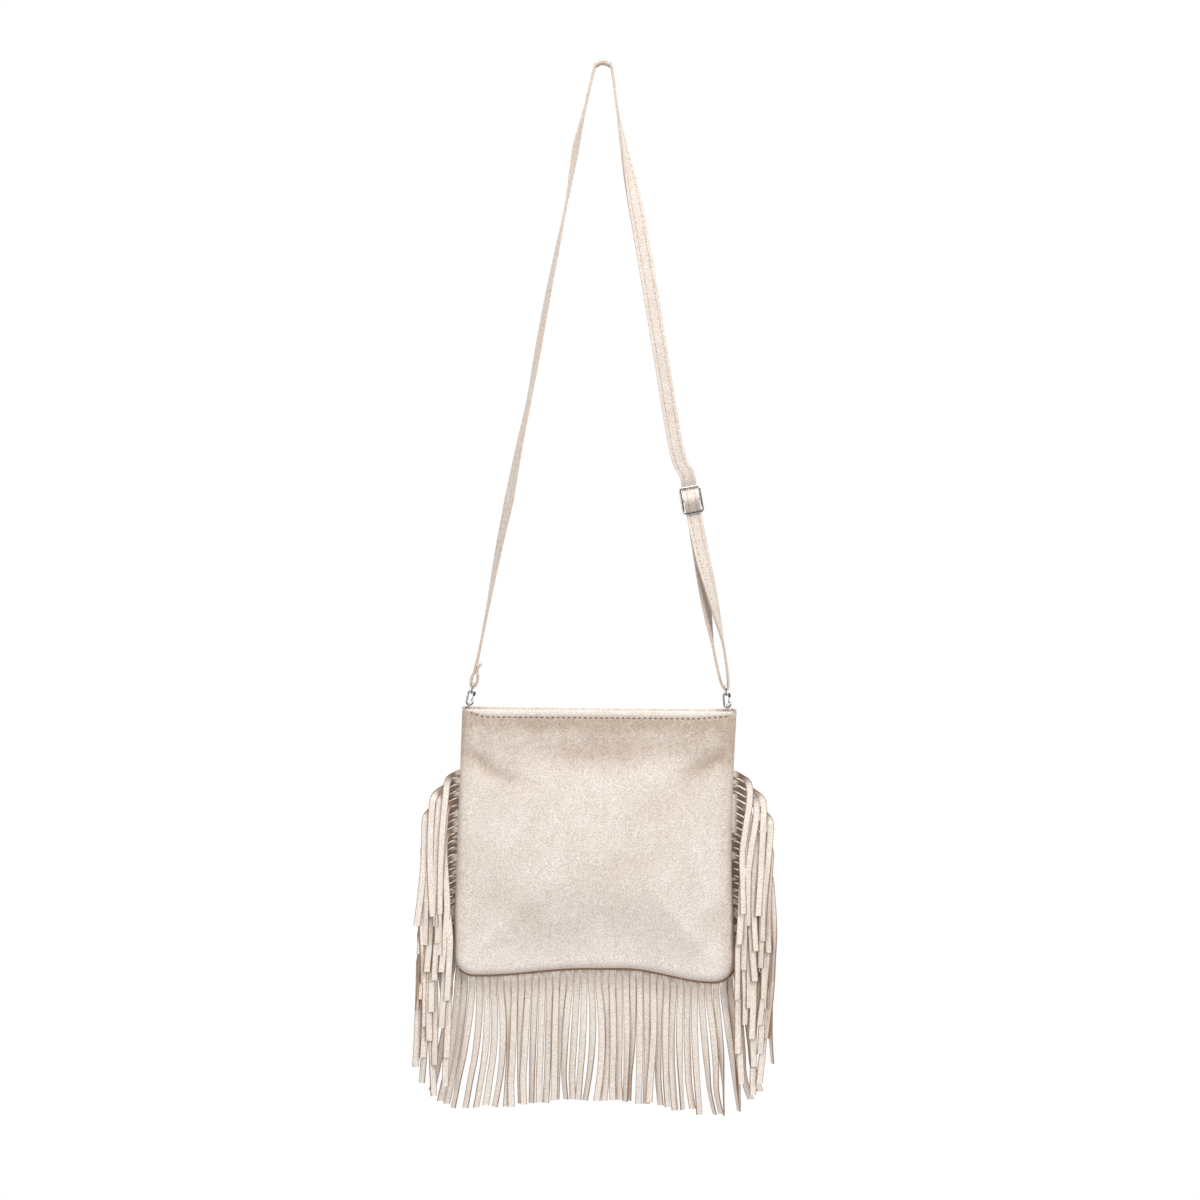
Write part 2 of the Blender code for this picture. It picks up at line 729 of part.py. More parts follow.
def trigger(name, side):
    bar, down, across = clasp_frame(side)
    broad = Vector((0, 1, 0))
    pivot = bar + across * HOOK_HALF + down * PIVOT_DOWN
    tip = bar + across * LEVER_TIP[0] + down * LEVER_TIP[1]
    along = (tip - pivot).normalized()
    thick = along.cross(broad)
    eye = rod(name, pivot, broad, LEVER_RADIUS, LEVER_HUB, 16)
    length = (tip - pivot).length - LEVER_HUB / 2
    middle = pivot + along * (LEVER_HUB + length / 2)
    arm = block("arm", middle, (thick, broad, along), (LEVER_THICKNESS, LEVER_WIDTH, length))
    eye = combine(eye, [arm])
    bore = rod("bore", pivot, broad, LEVER_BORE, PIN_LENGTH, 16)
    return combine(eye, [bore], "DIFFERENCE")


def hook_bottom(side):
    bar, down, across = clasp_frame(side)
    return bar + down * HOOK_BOTTOM


def ring_centre(side):
    lift = BAR_RADIUS + RING_WIRE + GAP
    return hook_bottom(side) + Vector((0, 0, lift - RING_HALF))


def hang_ring(name, side):
    centre = ring_centre(side)
    route = loop_points(RING_HALF, RING_HALF, RING_CORNER)
    points = [centre + Vector((0, y, z)) for y, z in route]
    return tube(name, points, RING_WIRE, True)


def ring_tab(name, side):
    centre = ring_centre(side) - Vector((0, 0, RING_HALF))
    turn_radius = RING_WIRE + GAP + TAB_THICKNESS / 2
    across = Vector((0, 1, 0))
    stations = [(centre + Vector((-turn_radius, 0, -TAB_LEG)), across)]
    for angle in (180, 135, 90, 45, 0):
        turn = math.radians(angle)
        spot = centre + Vector((math.cos(turn), 0, math.sin(turn))) * turn_radius
        stations.append((spot, across))
    stations.append((centre + Vector((turn_radius, 0, -TAB_LEG)), across))
    return band(name, stations, TAB_WIDTH, TAB_THICKNESS)


# zip

def zip_tape(name, side):
    inner = COIL_Y + COIL_RADIUS + GAP
    profile = [(inner, 0), (TAPE_OUTER - TAPE_FOLD, 0), (TAPE_OUTER, -TAPE_FOLD), (TAPE_OUTER, -TAPE_DROP)]
    bm = bmesh.new()
    steps = 6
    bmesh.ops.create_grid(bm, x_segments=steps, y_segments=len(profile) - 1, size=0.5)
    bm.verts.ensure_lookup_table()
    for vertex in bm.verts:
        row, column = divmod(vertex.index, steps + 1)
        y, z = profile[row]
        vertex.co = Vector((mix(ZIP_LEFT, ZIP_RIGHT, column / steps), side * y, ZIP_Z + z))
    thing = finish_mesh(name, bm, kind="zip")
    thicken(thing, TAPE_THICKNESS)
    return thing


def zip_coil(name, side):
    start = Vector((ZIP_LEFT + COIL_END, side * COIL_Y, ZIP_Z))
    end = Vector((ZIP_RIGHT - COIL_END, side * COIL_Y, ZIP_Z))
    thing = tube(name, [start, end], COIL_RADIUS, False)
    paint(thing, "zip", 0.5)
    return thing


AXES = (Vector((1, 0, 0)), Vector((0, 1, 0)), Vector((0, 0, 1)))


def zip_stop(name, x):
    return block(name, Vector((x, 0, ZIP_Z)), AXES, STOP_SIZE, bevel=STOP_BEVEL)


def zip_slider():
    centre = Vector((SLIDER_X, 0, ZIP_Z))
    lift = COIL_RADIUS + SLIDER_GAP + SLIDER_PLATE / 2
    plate = (SLIDER_LENGTH, SLIDER_WIDTH, SLIDER_PLATE)
    top = block("zip_slider", centre + AXES[2] * lift, AXES, plate, bevel=PLATE_BEVEL)
    low = block("low", centre - AXES[2] * lift, AXES, plate, bevel=PLATE_BEVEL)
    post_half = COIL_Y - COIL_RADIUS - POST_GAP
    post = block("post", centre + AXES[0] * POST_FORWARD, AXES, (POST_LENGTH, post_half * 2, lift * 2))
    arch = []
    for angle in (0, 45, 90, 135, 180):
        turn = math.radians(angle)
        arch.append(centre + Vector((math.cos(turn), 0, math.sin(turn))) * BRIDGE_RADIUS + AXES[2] * lift)
    bridge = tube("bridge", arch, BRIDGE_WIRE, False)
    return combine(top, [low, post, bridge])


def pull_pivot():
    lift = COIL_RADIUS + SLIDER_GAP + SLIDER_PLATE + GAP + PULL_WIRE
    return Vector((SLIDER_X, 0, ZIP_Z + lift))


def zip_pull():
    pivot = pull_pivot()
    shoulder = PULL_LOOP * 0.75
    side = [(0, PULL_HALF), (0, -PULL_HALF), (-shoulder, -PULL_HALF), (-PULL_LOOP, -PULL_NECK_HALF)]
    loop = side + [(-PULL_LOOP, PULL_NECK_HALF), (-shoulder, PULL_HALF)]
    points = [pivot + Vector((x, y, 0)) for x, y in loop]
    thing = tube("zip_pull", points, PULL_WIRE, True)
    start = PULL_LOOP - PULL_WIRE
    length = PULL_LENGTH - start
    width, thickness = PULL_TAB
    middle = pivot + Vector((-start - length / 2, 0, 0))
    tab = block("tab", middle, AXES, (length, width, thickness), bevel=PLATE_BEVEL)
    return combine(thing, [tab])


# fringe

def heading(degrees):
    # 0 is towards -X, 90 is down and 180 is towards +X
    angle = math.radians(degrees)
    return Vector((-math.cos(angle), 0, -math.sin(angle))), Vector((math.sin(angle), 0, -math.cos(angle)))


def comb_route():
    # places along the seam of both edges of each strip, with the direction out of the bag
    points = SEAM[SEAM[:, 1] < FRINGE_START_Z]
    steps = np.hypot(*np.diff(points, axis=0).T)
    along = np.concatenate([[0], np.cumsum(steps)])
    count = int((along[-1] - STRIP_WIDTH) / STRIP_PITCH)
    start = (along[-1] - count * STRIP_PITCH - STRIP_WIDTH) / 2

    def at(where):
        return np.array([np.interp(where, along, points[:, 0]), np.interp(where, along, points[:, 1])])

    marks = []
    for index in range(count + 1):
        for end in (0, STRIP_WIDTH):
            where = start + index * STRIP_PITCH + end
            x, z = at(where)
            ahead = at(where + STRIP_PITCH / 4) - at(where - STRIP_PITCH / 4)
            ahead = ahead / np.hypot(*ahead)
            marks.append((Vector((x, 0, z)), Vector((ahead[1], 0, -ahead[0]))))
    return marks


def jitter(index, salt):
    return math.sin(index * 12.9898 + salt * 78.233) * 43758.5453 % 1.0 - 0.5


def forward(drop):
    # how far in front of the seam a side strip hangs, so that those sewn in lower down pass behind it
    turn = STRIP_PITCH * LANES
    return HANG_Y - FIRST_LAYER * min(1, drop / turn) - LAYER_STEP * max(0, drop / turn - 1)


def side_strip(index, order, side, root):
    # order counts from the top of the side; the strip leaves the seam, tips forward and hangs in its lane
    place = LANE_ORDER[order % LANES]
    lane = FIRST_LANE + place * LANE_STEP
    tip_y, end_y = LANE_DIPS[place]
    if side < 0:
        lean = -LEFT_FLARE / (TOP_LEFT.z - BOTTOM_Z)
        hang_x = TOP_LEFT.x + (TOP_LEFT.z - root.z) * lean - FRINGE_OUTSIDE - lane
    else:
        lean = 0.0
        hang_x = TOP_RIGHT.x + FRINGE_OUTSIDE + lane
    rings = []
    spot = root.copy()

    def go(step, degrees, roll, front=0.0):
        nonlocal spot
        ahead, across = heading(degrees if side < 0 else 180 - degrees)
        spot = spot + ahead * step
        spot.y = front
        rings.append((spot.copy(), across, roll))

    go(ROOT_STEP, 12, 15, tip_y * 0.3)
    go(SECOND_STEP, 32, 32, tip_y)
    turn_reach = TURN_STEP * (math.cos(math.radians(58)) + math.cos(math.radians(80)))
    rest = abs(hang_x - spot.x) - turn_reach
    straight = rest / math.cos(math.radians(RUNG_SLOPE))
    go(straight, RUNG_SLOPE, 18, end_y)
    go(TURN_STEP, 58, -4, HANG_Y * 0.92)
    go(TURN_STEP, 80, -2, HANG_Y * 0.98)
    across = heading(90)[1]
    used = ROOT_STEP + SECOND_STEP + straight + 2 * TURN_STEP
    length = SIDE_LENGTH * (1 + LENGTH_SPREAD * jitter(index, 1)) - used
    sway = SIDE_SWAY * jitter(index, 2)
    for share in (0.10, 0.36, 0.68, 1.0):
        drop = length * share
        x = spot.x + sway * share + lean * drop
        rings.append((Vector((x, forward(drop), spot.z - drop)), across, 0))
    return rings, side


def bottom_strip(index, root, turn):
    # corner strips spread, and lie by turns before and behind one another, so that they hang side by side
    corner = blend(50, 5, turn) - blend(130, 175, turn)
    hang_x = root.x - CORNER_SPREAD * corner
    behind = CORNER_BEHIND * (index % 2) * blend(82, 60, min(turn, 180 - turn))
    rings = []
    spot = root.copy()
    length = BOTTOM_LENGTH * (1 + LENGTH_SPREAD * jitter(index, 3))
    for share, step, shift in FIRST_STEPS:
        ahead, across = heading(mix(turn, 90, share))
        spot = spot + ahead * step
        spot.x = mix(root.x, hang_x, shift)
        rings.append((Vector((spot.x, behind, spot.z)), across, 0))
    ahead, across = heading(90)
    for share in (0.3, 0.65, 1.0):
        drop = (length - sum(step[1] for step in FIRST_STEPS)) * share
        rings.append((Vector((hang_x, behind, spot.z - drop)), across, 0))
    return rings, 0


def fringe():
    marks = comb_route()
    bm = bmesh.new()
    bmesh.ops.create_cube(bm, size=1)
    half = FRINGE_THICKNESS / 2

    def rail(mark):
        spot, out = mark
        return spot - out * FRINGE_INSIDE, spot + out * FRINGE_OUTSIDE

    def codes(face):
        return [(v.co.x > 0, math.copysign(half, v.co.y)) for v in face.verts]

    def lay(face, face_codes, mark):
        inner, outer = rail(mark)
        for vertex, (is_outer, y) in zip(face.verts, face_codes):
            vertex.co = (outer if is_outer else inner) + Vector((0, y, 0))

    end = max(bm.faces, key=lambda f: f.calc_center_median().z)
    start = min(bm.faces, key=lambda f: f.calc_center_median().z)
    end_codes = codes(end)
    start_codes = codes(start)
    lay(start, start_codes, marks[0])
    lay(end, end_codes, marks[1])
    for mark in marks[2:]:
        end = bmesh.ops.extrude_discrete_faces(bm, faces=[end])["faces"][0]
        lay(end, end_codes, mark)
    bm.normal_update()
    strips = []
    for index in range(len(marks) // 2):
        first, second = rail(marks[2 * index])[1], rail(marks[2 * index + 1])[1]
        middle = (first + second) / 2
        face = min(bm.faces, key=lambda f: (f.calc_center_median() - middle).length_squared)
        strips.append((face, first, second, middle))
    for index, (face, first, second, middle) in enumerate(strips):
        out = (marks[2 * index][1] + marks[2 * index + 1][1]).normalized()
        turn = (math.degrees(math.atan2(-out.z, -out.x)) + 90) % 360 - 90
        codes_here = []
        for vertex in face.verts:
            near_first = (vertex.co - first).length < (vertex.co - second).length
            codes_here.append((-STRIP_WIDTH / 2 if near_first else STRIP_WIDTH / 2, vertex.co.y))
        if turn < 8:
            rings, sign = side_strip(index, index, -1, middle)
        elif turn > 172:
            rings, sign = side_strip(index, len(strips) - 1 - index, 1, middle)
        else:
            rings, sign = bottom_strip(index, middle, turn)
        for spot, across, roll in rings:
            angle = math.radians(roll) * (1 if sign < 0 else -1)
            tipped = across * math.cos(angle) + Vector((0, math.sin(angle), 0))
            through = Vector((0, math.cos(angle), 0)) - across * math.sin(angle)
            face = bmesh.ops.extrude_discrete_faces(bm, faces=[face])["faces"][0]
            place_ring(face, codes_here, spot, tipped, through)
    return finish_mesh("fringe", bm)


def set_back(names):
    # the bag sits a little behind its clasps, so that its weight and its forward fringe hang plumb
    for name in names:
        bpy.data.objects[name].data.transform(Matrix.Translation((0, BALANCE, 0)))


def build():
    clear_scene()
    strap()
    strap_slide()
    for name, side in (("left", -1), ("right", 1)):
        clasp_eye(name + "_eye", side)
        swivel_hook(name + "_hook", side)
        trigger(name + "_trigger", side)
        hang_ring(name + "_ring", side)
        ring_tab(name + "_tab", side)
    panel("front_panel", -1, 0.0)
    panel("back_panel", 1, BACK_RISE)
    lining()
    fringe()
    for name, side in (("front", -1), ("back", 1)):
        zip_tape("tape_" + name, side)
        zip_coil("coil_" + name, side)
    zip_stop("stop_left", ZIP_LEFT + STOP_IN)
    zip_stop("stop_right", ZIP_RIGHT - STOP_IN)
    zip_slider()
    zip_pull()
    hung = [side + piece for side in ("left_", "right_") for piece in ("ring", "tab")]
    hung += [end + side for side in ("front", "back") for end in ("tape_", "coil_")]
    hung += ["front_panel", "back_panel", "lining", "fringe", "stop_left", "stop_right"]
    set_back(hung + ["zip_slider", "zip_pull"])


build()
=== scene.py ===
import math

import bmesh
import bpy
import numpy as np
from mathutils import Matrix, Vector


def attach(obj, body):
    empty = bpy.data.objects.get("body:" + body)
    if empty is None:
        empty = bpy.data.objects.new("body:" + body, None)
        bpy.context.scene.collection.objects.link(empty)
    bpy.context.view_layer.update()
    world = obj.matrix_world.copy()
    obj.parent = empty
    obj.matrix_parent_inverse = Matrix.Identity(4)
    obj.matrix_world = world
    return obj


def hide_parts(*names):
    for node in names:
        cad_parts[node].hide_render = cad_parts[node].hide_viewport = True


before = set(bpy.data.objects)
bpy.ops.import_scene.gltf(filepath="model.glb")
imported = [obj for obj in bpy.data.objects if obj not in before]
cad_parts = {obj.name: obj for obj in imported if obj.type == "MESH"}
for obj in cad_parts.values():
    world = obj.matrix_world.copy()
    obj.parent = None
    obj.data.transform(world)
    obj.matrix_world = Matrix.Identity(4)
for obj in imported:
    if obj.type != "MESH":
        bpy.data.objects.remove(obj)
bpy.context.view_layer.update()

# Studio
# The bag hangs in plain white surroundings. The camera looks at it level, from the height of its
# middle, and a large soft lamp stands to the upper right. Metal also mirrors a darker room in front.
scene = bpy.context.scene
scene.view_settings.view_transform = "Standard"
lens = bpy.data.cameras.new("camera")
lens.lens = 90
lens.sensor_width = 36
camera = bpy.data.objects.new("camera", lens)
camera.location = (-0.003, -3.0, -0.536)
camera.rotation_euler = (math.pi / 2, 0, 0)
scene.collection.objects.link(camera)
scene.camera = camera


def feed(node, sockets):
    for name, value in sockets.items():
        if isinstance(value, Shade):
            value.tree.links.new(value.socket, node.inputs[name])
        else:
            node.inputs[name].default_value = value


class Shade:
    # a socket of a material, so that sums on it add their nodes
    def __init__(self, tree, socket=None):
        self.tree = tree
        self.socket = socket

    def node(self, kind, settings=None, sockets=None, output=0):
        made = self.tree.nodes.new("ShaderNode" + kind)
        for name, value in (settings or {}).items():
            setattr(made, name, value)
        feed(made, sockets or {})
        return Shade(self.tree, made.outputs[output])

    def maths(self, operation, first, second):
        return self.node("Math", {"operation": operation}, {0: first, 1: second})

    def __add__(self, other):
        return self.maths("ADD", self, other)

    def __radd__(self, other):
        return self.maths("ADD", other, self)

    def __sub__(self, other):
        return self.maths("SUBTRACT", self, other)

    def __rsub__(self, other):
        return self.maths("SUBTRACT", other, self)

    def __mul__(self, other):
        return self.maths("MULTIPLY", self, other)

    def __rmul__(self, other):
        return self.maths("MULTIPLY", other, self)

    def step(self, low, high):
        # 0 where the value is low, 1 where it is high, and soft between
        return self.node("MapRange", {"interpolation_type": "SMOOTHSTEP"},
                         {"Value": self, "From Min": low, "From Max": high})

    def limit(self):
        return self.node("Clamp", None, {0: self})

    def between(self, first, second, how="MIX"):
        # the first colour where this mask is 0, the second where it is 1
        return self.node("Mix", {"data_type": "RGBA", "blend_type": how},
                         {0: self, 6: first, 7: second}, output=2)

    def grain(self, place, scale, detail=2.0, stretch=None):
        if stretch:
            place = self.node("Mapping", None, {"Vector": place, "Scale": stretch})
        return self.node("TexNoise", None, {"Vector": place, "Scale": scale, "Detail": detail})


def new_material(name):
    made = bpy.data.materials.new(name)
    made.use_nodes = True
    return made, Shade(made.node_tree), made.node_tree.nodes["Principled BSDF"]


def place_piece(name, bm, materials):
    mesh = bpy.data.meshes.new(name)
    bm.to_mesh(mesh)
    bm.free()
    for material in materials:
        mesh.materials.append(material)
    mesh.shade_smooth()
    piece = bpy.data.objects.new(name, mesh)
    scene.collection.objects.link(piece)
    return piece


world = bpy.data.worlds.new("studio")
scene.world = world
world.use_nodes = True
shade = Shade(world.node_tree)
soft_light = shade.node("Background", None, {"Color": (1.0, 0.994, 0.985, 1), "Strength": 0.62})
dark_room = shade.node("Background", None, {"Color": (0.42, 0.39, 0.37, 1), "Strength": 0.16})
plain_white = shade.node("Background", None, {"Color": (1, 1, 1, 1), "Strength": 1.0})
rays = shade.tree.nodes.new("ShaderNodeLightPath")
seen = Shade(shade.tree, rays.outputs["Is Camera Ray"])
mirrored = Shade(shade.tree, rays.outputs["Is Glossy Ray"])
split = shade.tree.nodes.new("ShaderNodeSeparateXYZ")
feed(split, {"Vector": shade.node("TexCoord", output="Generated")})
to_front = (Shade(shade.tree, split.outputs["Y"]) * -1.0).step(0.25, 0.80)
around = shade.node("MixShader", None, {0: to_front * mirrored, 1: soft_light, 2: dark_room})
feed(world.node_tree.nodes["World Output"],
     {"Surface": shade.node("MixShader", None, {0: seen, 1: around, 2: plain_white})})


def soft_lamp(name, spot, target, size, power, colour):
    light = bpy.data.lights.new(name, "AREA")
    light.shape = "RECTANGLE"
    light.size, light.size_y = size
    light.energy = power
    light.color = colour
    lamp = bpy.data.objects.new(name, light)
    lamp.location = spot
    lamp.rotation_euler = (Vector(target) - Vector(spot)).to_track_quat("-Z", "Y").to_euler()
    scene.collection.objects.link(lamp)


soft_lamp("key_lamp", (1.5, -1.7, 1.0), (0, 0, -0.75), (1.0, 1.0), 36, (1.0, 0.996, 0.988))
soft_lamp("top_lamp", (-0.1, -0.5, 1.3), (0, 0, -0.75), (1.2, 0.8), 21, (1.0, 0.998, 0.992))
soft_lamp("back_lamp", (0.9, 2.4, 0.6), (0, 0, -0.75), (1.4, 1.4), 16, (1.0, 0.994, 0.985))
soft_lamp("fill_lamp", (-1.6, -1.9, -0.1), (0, 0, -0.75), (1.2, 1.4), 11, (1.0, 0.992, 0.982))

# Suede panels
# The front and back of the bag are two pieces of soft off-white suede 1.2 mm thick. They are sewn
# together along the sides and the bottom with the fringe between them, turned right side out, and
# their mouth edges are folded in as a hem.
TOP_LEFT = Vector((-0.140, 0, -0.6455))
TOP_RIGHT = Vector((0.133, 0, -0.648))
LEFT_FLARE = 0.010
RIGHT_WAIST = 0.005
BOTTOM_Z = -0.9035
LEFT_DROOP = 0.0065
RIGHT_DROOP = 0.0135
CORNER_RADIUS = 0.022
BACK_RISE = 0.0025
SEAM_HALF = 0.00165
ROLL_RADIUS = 0.0063
PILLOW = 0.0085
ALLOWANCE = 0.006
MOUTH_ALLOWANCE = 0.0022
HEM_GAP = 0.0019
HEM_DEPTH = 0.012
SUEDE_THICKNESS = 0.0012
SET_BACK = 0.00135
STITCH_DROP = 0.0068
CORNER_LIFT = 0.0012
HEIGHT = TOP_LEFT.z - BOTTOM_Z
HALF_WIDTH = (TOP_RIGHT.x - TOP_LEFT.x) / 2


def ease(start, end, value):
    value = min(1.0, max(0.0, (value - start) / (end - start)))
    return value * value * (3 - 2 * value)


def mix(first, second, share):
    return first + (second - first) * share


def top_z(x):
    return mix(TOP_LEFT.z, TOP_RIGHT.z, (x - TOP_LEFT.x) / (TOP_RIGHT.x - TOP_LEFT.x))


def bottom_z(x):
    return BOTTOM_Z - LEFT_DROOP * ease(-0.02, -0.12, x) - RIGHT_DROOP * ease(0.02, 0.11, x)


def outline(u, v):
    rounded = max(0.0, 1 - (1 - v) * HEIGHT / CORNER_RADIUS)
    inset = CORNER_RADIUS * (1 - math.sqrt(max(0.0, 1 - rounded * rounded)))
    left = TOP_LEFT.x - LEFT_FLARE * v + inset
    right = TOP_RIGHT.x - RIGHT_WAIST * math.sin(math.pi * v) - inset
    x = mix(left, right, (u + 1) / 2)
    return x, mix(top_z(x), bottom_z(x), v)


def seam_route():
    rows = [i / 90 for i in range(91)]
    turn = [1 - CORNER_RADIUS / HEIGHT * (1 - math.sin(math.radians(a))) for a in range(4, 91, 4)]
    rows = [v for v in rows if v < turn[0]] + turn
    points = [outline(-1, v) for v in rows]
    points += [outline(-1 + i / 50, 1) for i in range(1, 100)]
    points += [outline(1, v) for v in reversed(rows)]
    return np.array(points)


SEAM = seam_route()


def seam_distance(x, z):
    starts = SEAM[:-1]
    sides = SEAM[1:] - starts
    away = np.array([x, z]) - starts
    share = np.clip((away * sides).sum(axis=1) / (sides * sides).sum(axis=1), 0, 1)
    return float(np.hypot(*(away - sides * share[:, None]).T).min())


def half_depth(x, z):
    distance = seam_distance(x, z)
    near = ROLL_RADIUS - min(distance, ROLL_RADIUS)
    roll = math.sqrt(ROLL_RADIUS ** 2 - near * near)
    down = (top_z(x) - z) / (top_z(x) - BOTTOM_Z)
    full = ease(0.0, 0.085, distance - ROLL_RADIUS / 2) * ease(0.0, 0.7, down)
    return SEAM_HALF + roll + PILLOW * full


def inward(x, z):
    near = int(np.argmin(np.hypot(SEAM[:, 0] - x, SEAM[:, 1] - z)))
    ahead = SEAM[min(near + 1, len(SEAM) - 1)] - SEAM[max(near - 1, 0)]
    ahead = ahead / np.hypot(*ahead)
    return Vector((-ahead[1], 0, ahead[0]))


def dent(x, z, middle, degrees, length, width):
    # 1 along the bottom of a soft crease and 0 away from it
    angle = math.radians(degrees)
    along = (x - middle[0]) * math.cos(angle) + (z - middle[1]) * math.sin(angle)
    aside = (z - middle[1]) * math.cos(angle) - (x - middle[0]) * math.sin(angle)
    return math.exp(-(along / length) ** 2 - (aside / width) ** 2)


# creases of the front and of the back: middle, slope in degrees, length, width and depth
CREASES = {
    -1: [((-0.121, -0.700), -34, 0.026, 0.0075, 0.0021), ((-0.090, -0.716), -14, 0.030, 0.010, 0.0012),
         ((0.100, -0.703), 33, 0.034, 0.010, 0.0022), ((0.122, -0.694), 22, 0.016, 0.006, 0.0011),
         ((-0.030, -0.690), 0, 0.120, 0.017, 0.0017), ((0.060, -0.742), 34, 0.055, 0.012, 0.0010),
         ((-0.105, -0.742), 60, 0.030, 0.010, 0.0006), ((0.020, -0.800), 28, 0.060, 0.020, 0.0008),
         ((-0.075, -0.850), -30, 0.050, 0.016, 0.0007), ((0.105, -0.868), 58, 0.034, 0.010, 0.0009)],
    1: [((-0.110, -0.702), 38, 0.030, 0.009, 0.0019), ((0.110, -0.700), -32, 0.030, 0.009, 0.0019),
        ((0.010, -0.692), 2, 0.110, 0.016, 0.0015), ((-0.040, -0.770), -26, 0.060, 0.016, 0.0010),
        ((0.060, -0.830), 30, 0.055, 0.018, 0.0010), ((-0.100, -0.862), 50, 0.030, 0.010, 0.0008)],
}


def folds(side, x, z):
    depth = sum(dent(x, z, *crease[:4]) * crease[4] for crease in CREASES[side])
    swell = 0.0004 * math.sin(x * 61 + 0.7 * side) * math.sin(z * 47 + 1.3)
    swell += 0.00022 * math.sin(x * 133 - z * 71 + side)
    away = ease(0.001, 0.016, seam_distance(x, z))
    return (depth + swell) * away * ease(0.010, 0.020, top_z(x) - z)


def stitch_drop(x):
    # how far below the mouth edge the hem is sewn; the line climbs to both corners
    left = mix(0.25, 1, ease(TOP_LEFT.x, TOP_LEFT.x + 0.026, x))
    return STITCH_DROP * left - 0.0025 * ease(0.085, 0.131, x)


def surface(side, x, z):
    # place of the middle of the suede
    down = (top_z(x) - z) / stitch_drop(x)
    groove = 0.0005 * math.exp(-((down - 1) * stitch_drop(x) / 0.0009) ** 2)
    plump = 0.0008 * math.sin(math.pi * min(1.0, max(0.0, down)))
    away = ease(0.002, 0.006, seam_distance(x, z))
    return side * (half_depth(x, z) - folds(side, x, z) + (plump - groove) * away)


def painted_light_and_shade(side, x, z):
    # how much painted shade a vertex takes: under the hem, in the creases, along both side edges and a
    # little on the hem itself, and less towards the bottom as painted light
    down = top_z(x) - z - stitch_drop(x)
    wave = 0.010 * math.sin(x * 21 + 0.6) + 0.006 * math.sin(x * 47 + 2)
    under = 0.57 * ease(0.058 + wave, 0.006, down) * ease(-0.0006, 0.0008, down)
    under += 0.70 * ease(0.019, 0.0, down) * ease(-0.0006, 0.0008, down)
    hem = 0.04 * ease(0.0006, -0.0008, down)
    creased = sum(dent(x, z, *crease[:4]) * crease[4] for crease in CREASES[side]) / 0.0042
    edge = 0.34 * ease(0.016, 0.0, x - mix(TOP_LEFT.x, TOP_LEFT.x - LEFT_FLARE, down / HEIGHT))
    edge += 0.58 * ease(0.022, 0.0, TOP_RIGHT.x - x)
    low = 0.20 * ease(-0.84, -0.92, z)
    return min(1.0, under + creased + edge + hem) - low


def panel_columns():
    near = [0, 0.0007, 0.0014, 0.0023, 0.0034, 0.0048, 0.0066, 0.009, 0.0115]
    middle = np.arange(0.014, HALF_WIDTH - 0.001, 0.0025)
    left = [-1 + d / HALF_WIDTH for d in near + list(middle)]
    return left + [-u for u in reversed(left)]


def panel_rows():
    drops = [*np.arange(HEM_GAP / 2, 0.0118, 0.00068), *np.arange(0.0125, HEIGHT - 0.023, 0.0025)]
    turn = [HEIGHT - CORNER_RADIUS * (1 - math.sin(math.radians(a))) for a in range(0, 80, 11)]
    return [d / HEIGHT for d in drops + turn] + [1.0]


def grid(columns, rows, place):
    bm = bmesh.new()
    bmesh.ops.create_grid(bm, x_segments=len(columns) - 1, y_segments=len(rows) - 1, size=0.5)
    bm.verts.ensure_lookup_table()
    for vertex in bm.verts:
        row, column = divmod(vertex.index, len(columns))
        vertex.co = place(columns[column], rows[row])
    return bm


def grow_border(bm, edges, moves):
    # each move takes the place where the border started and gives that of its next copy
    starts = {v: v.co.copy() for e in edges for v in e.verts}
    for move in moves:
        grown = bmesh.ops.extrude_edge_only(bm, edges=edges)["geom"]
        fresh = {g for g in grown if isinstance(g, bmesh.types.BMVert)}
        edges = [g for g in grown if isinstance(g, bmesh.types.BMEdge) and all(v in fresh for v in g.verts)]
        grown_from = {}
        for vertex in fresh:
            before = [e.other_vert(vertex) for e in vertex.link_edges if e.other_vert(vertex) in starts]
            grown_from[vertex] = starts[before[0]]
        starts = grown_from
        for vertex, start in starts.items():
            vertex.co = move(start)


def wall(piece, thickness, back=0, rim=0):
    solid = piece.modifiers.new("thickness", "SOLIDIFY")
    solid.thickness = thickness
    solid.offset = 0
    solid.use_even_offset = True
    solid.use_quality_normals = True
    solid.material_offset = back
    solid.material_offset_rim = rim
    ready = bpy.data.meshes.new_from_object(piece.evaluated_get(bpy.context.evaluated_depsgraph_get()))
    ready.set_sharp_from_angle(angle=math.radians(55))
    ready.name = piece.data.name
    piece.modifiers.clear()
    piece.data = ready


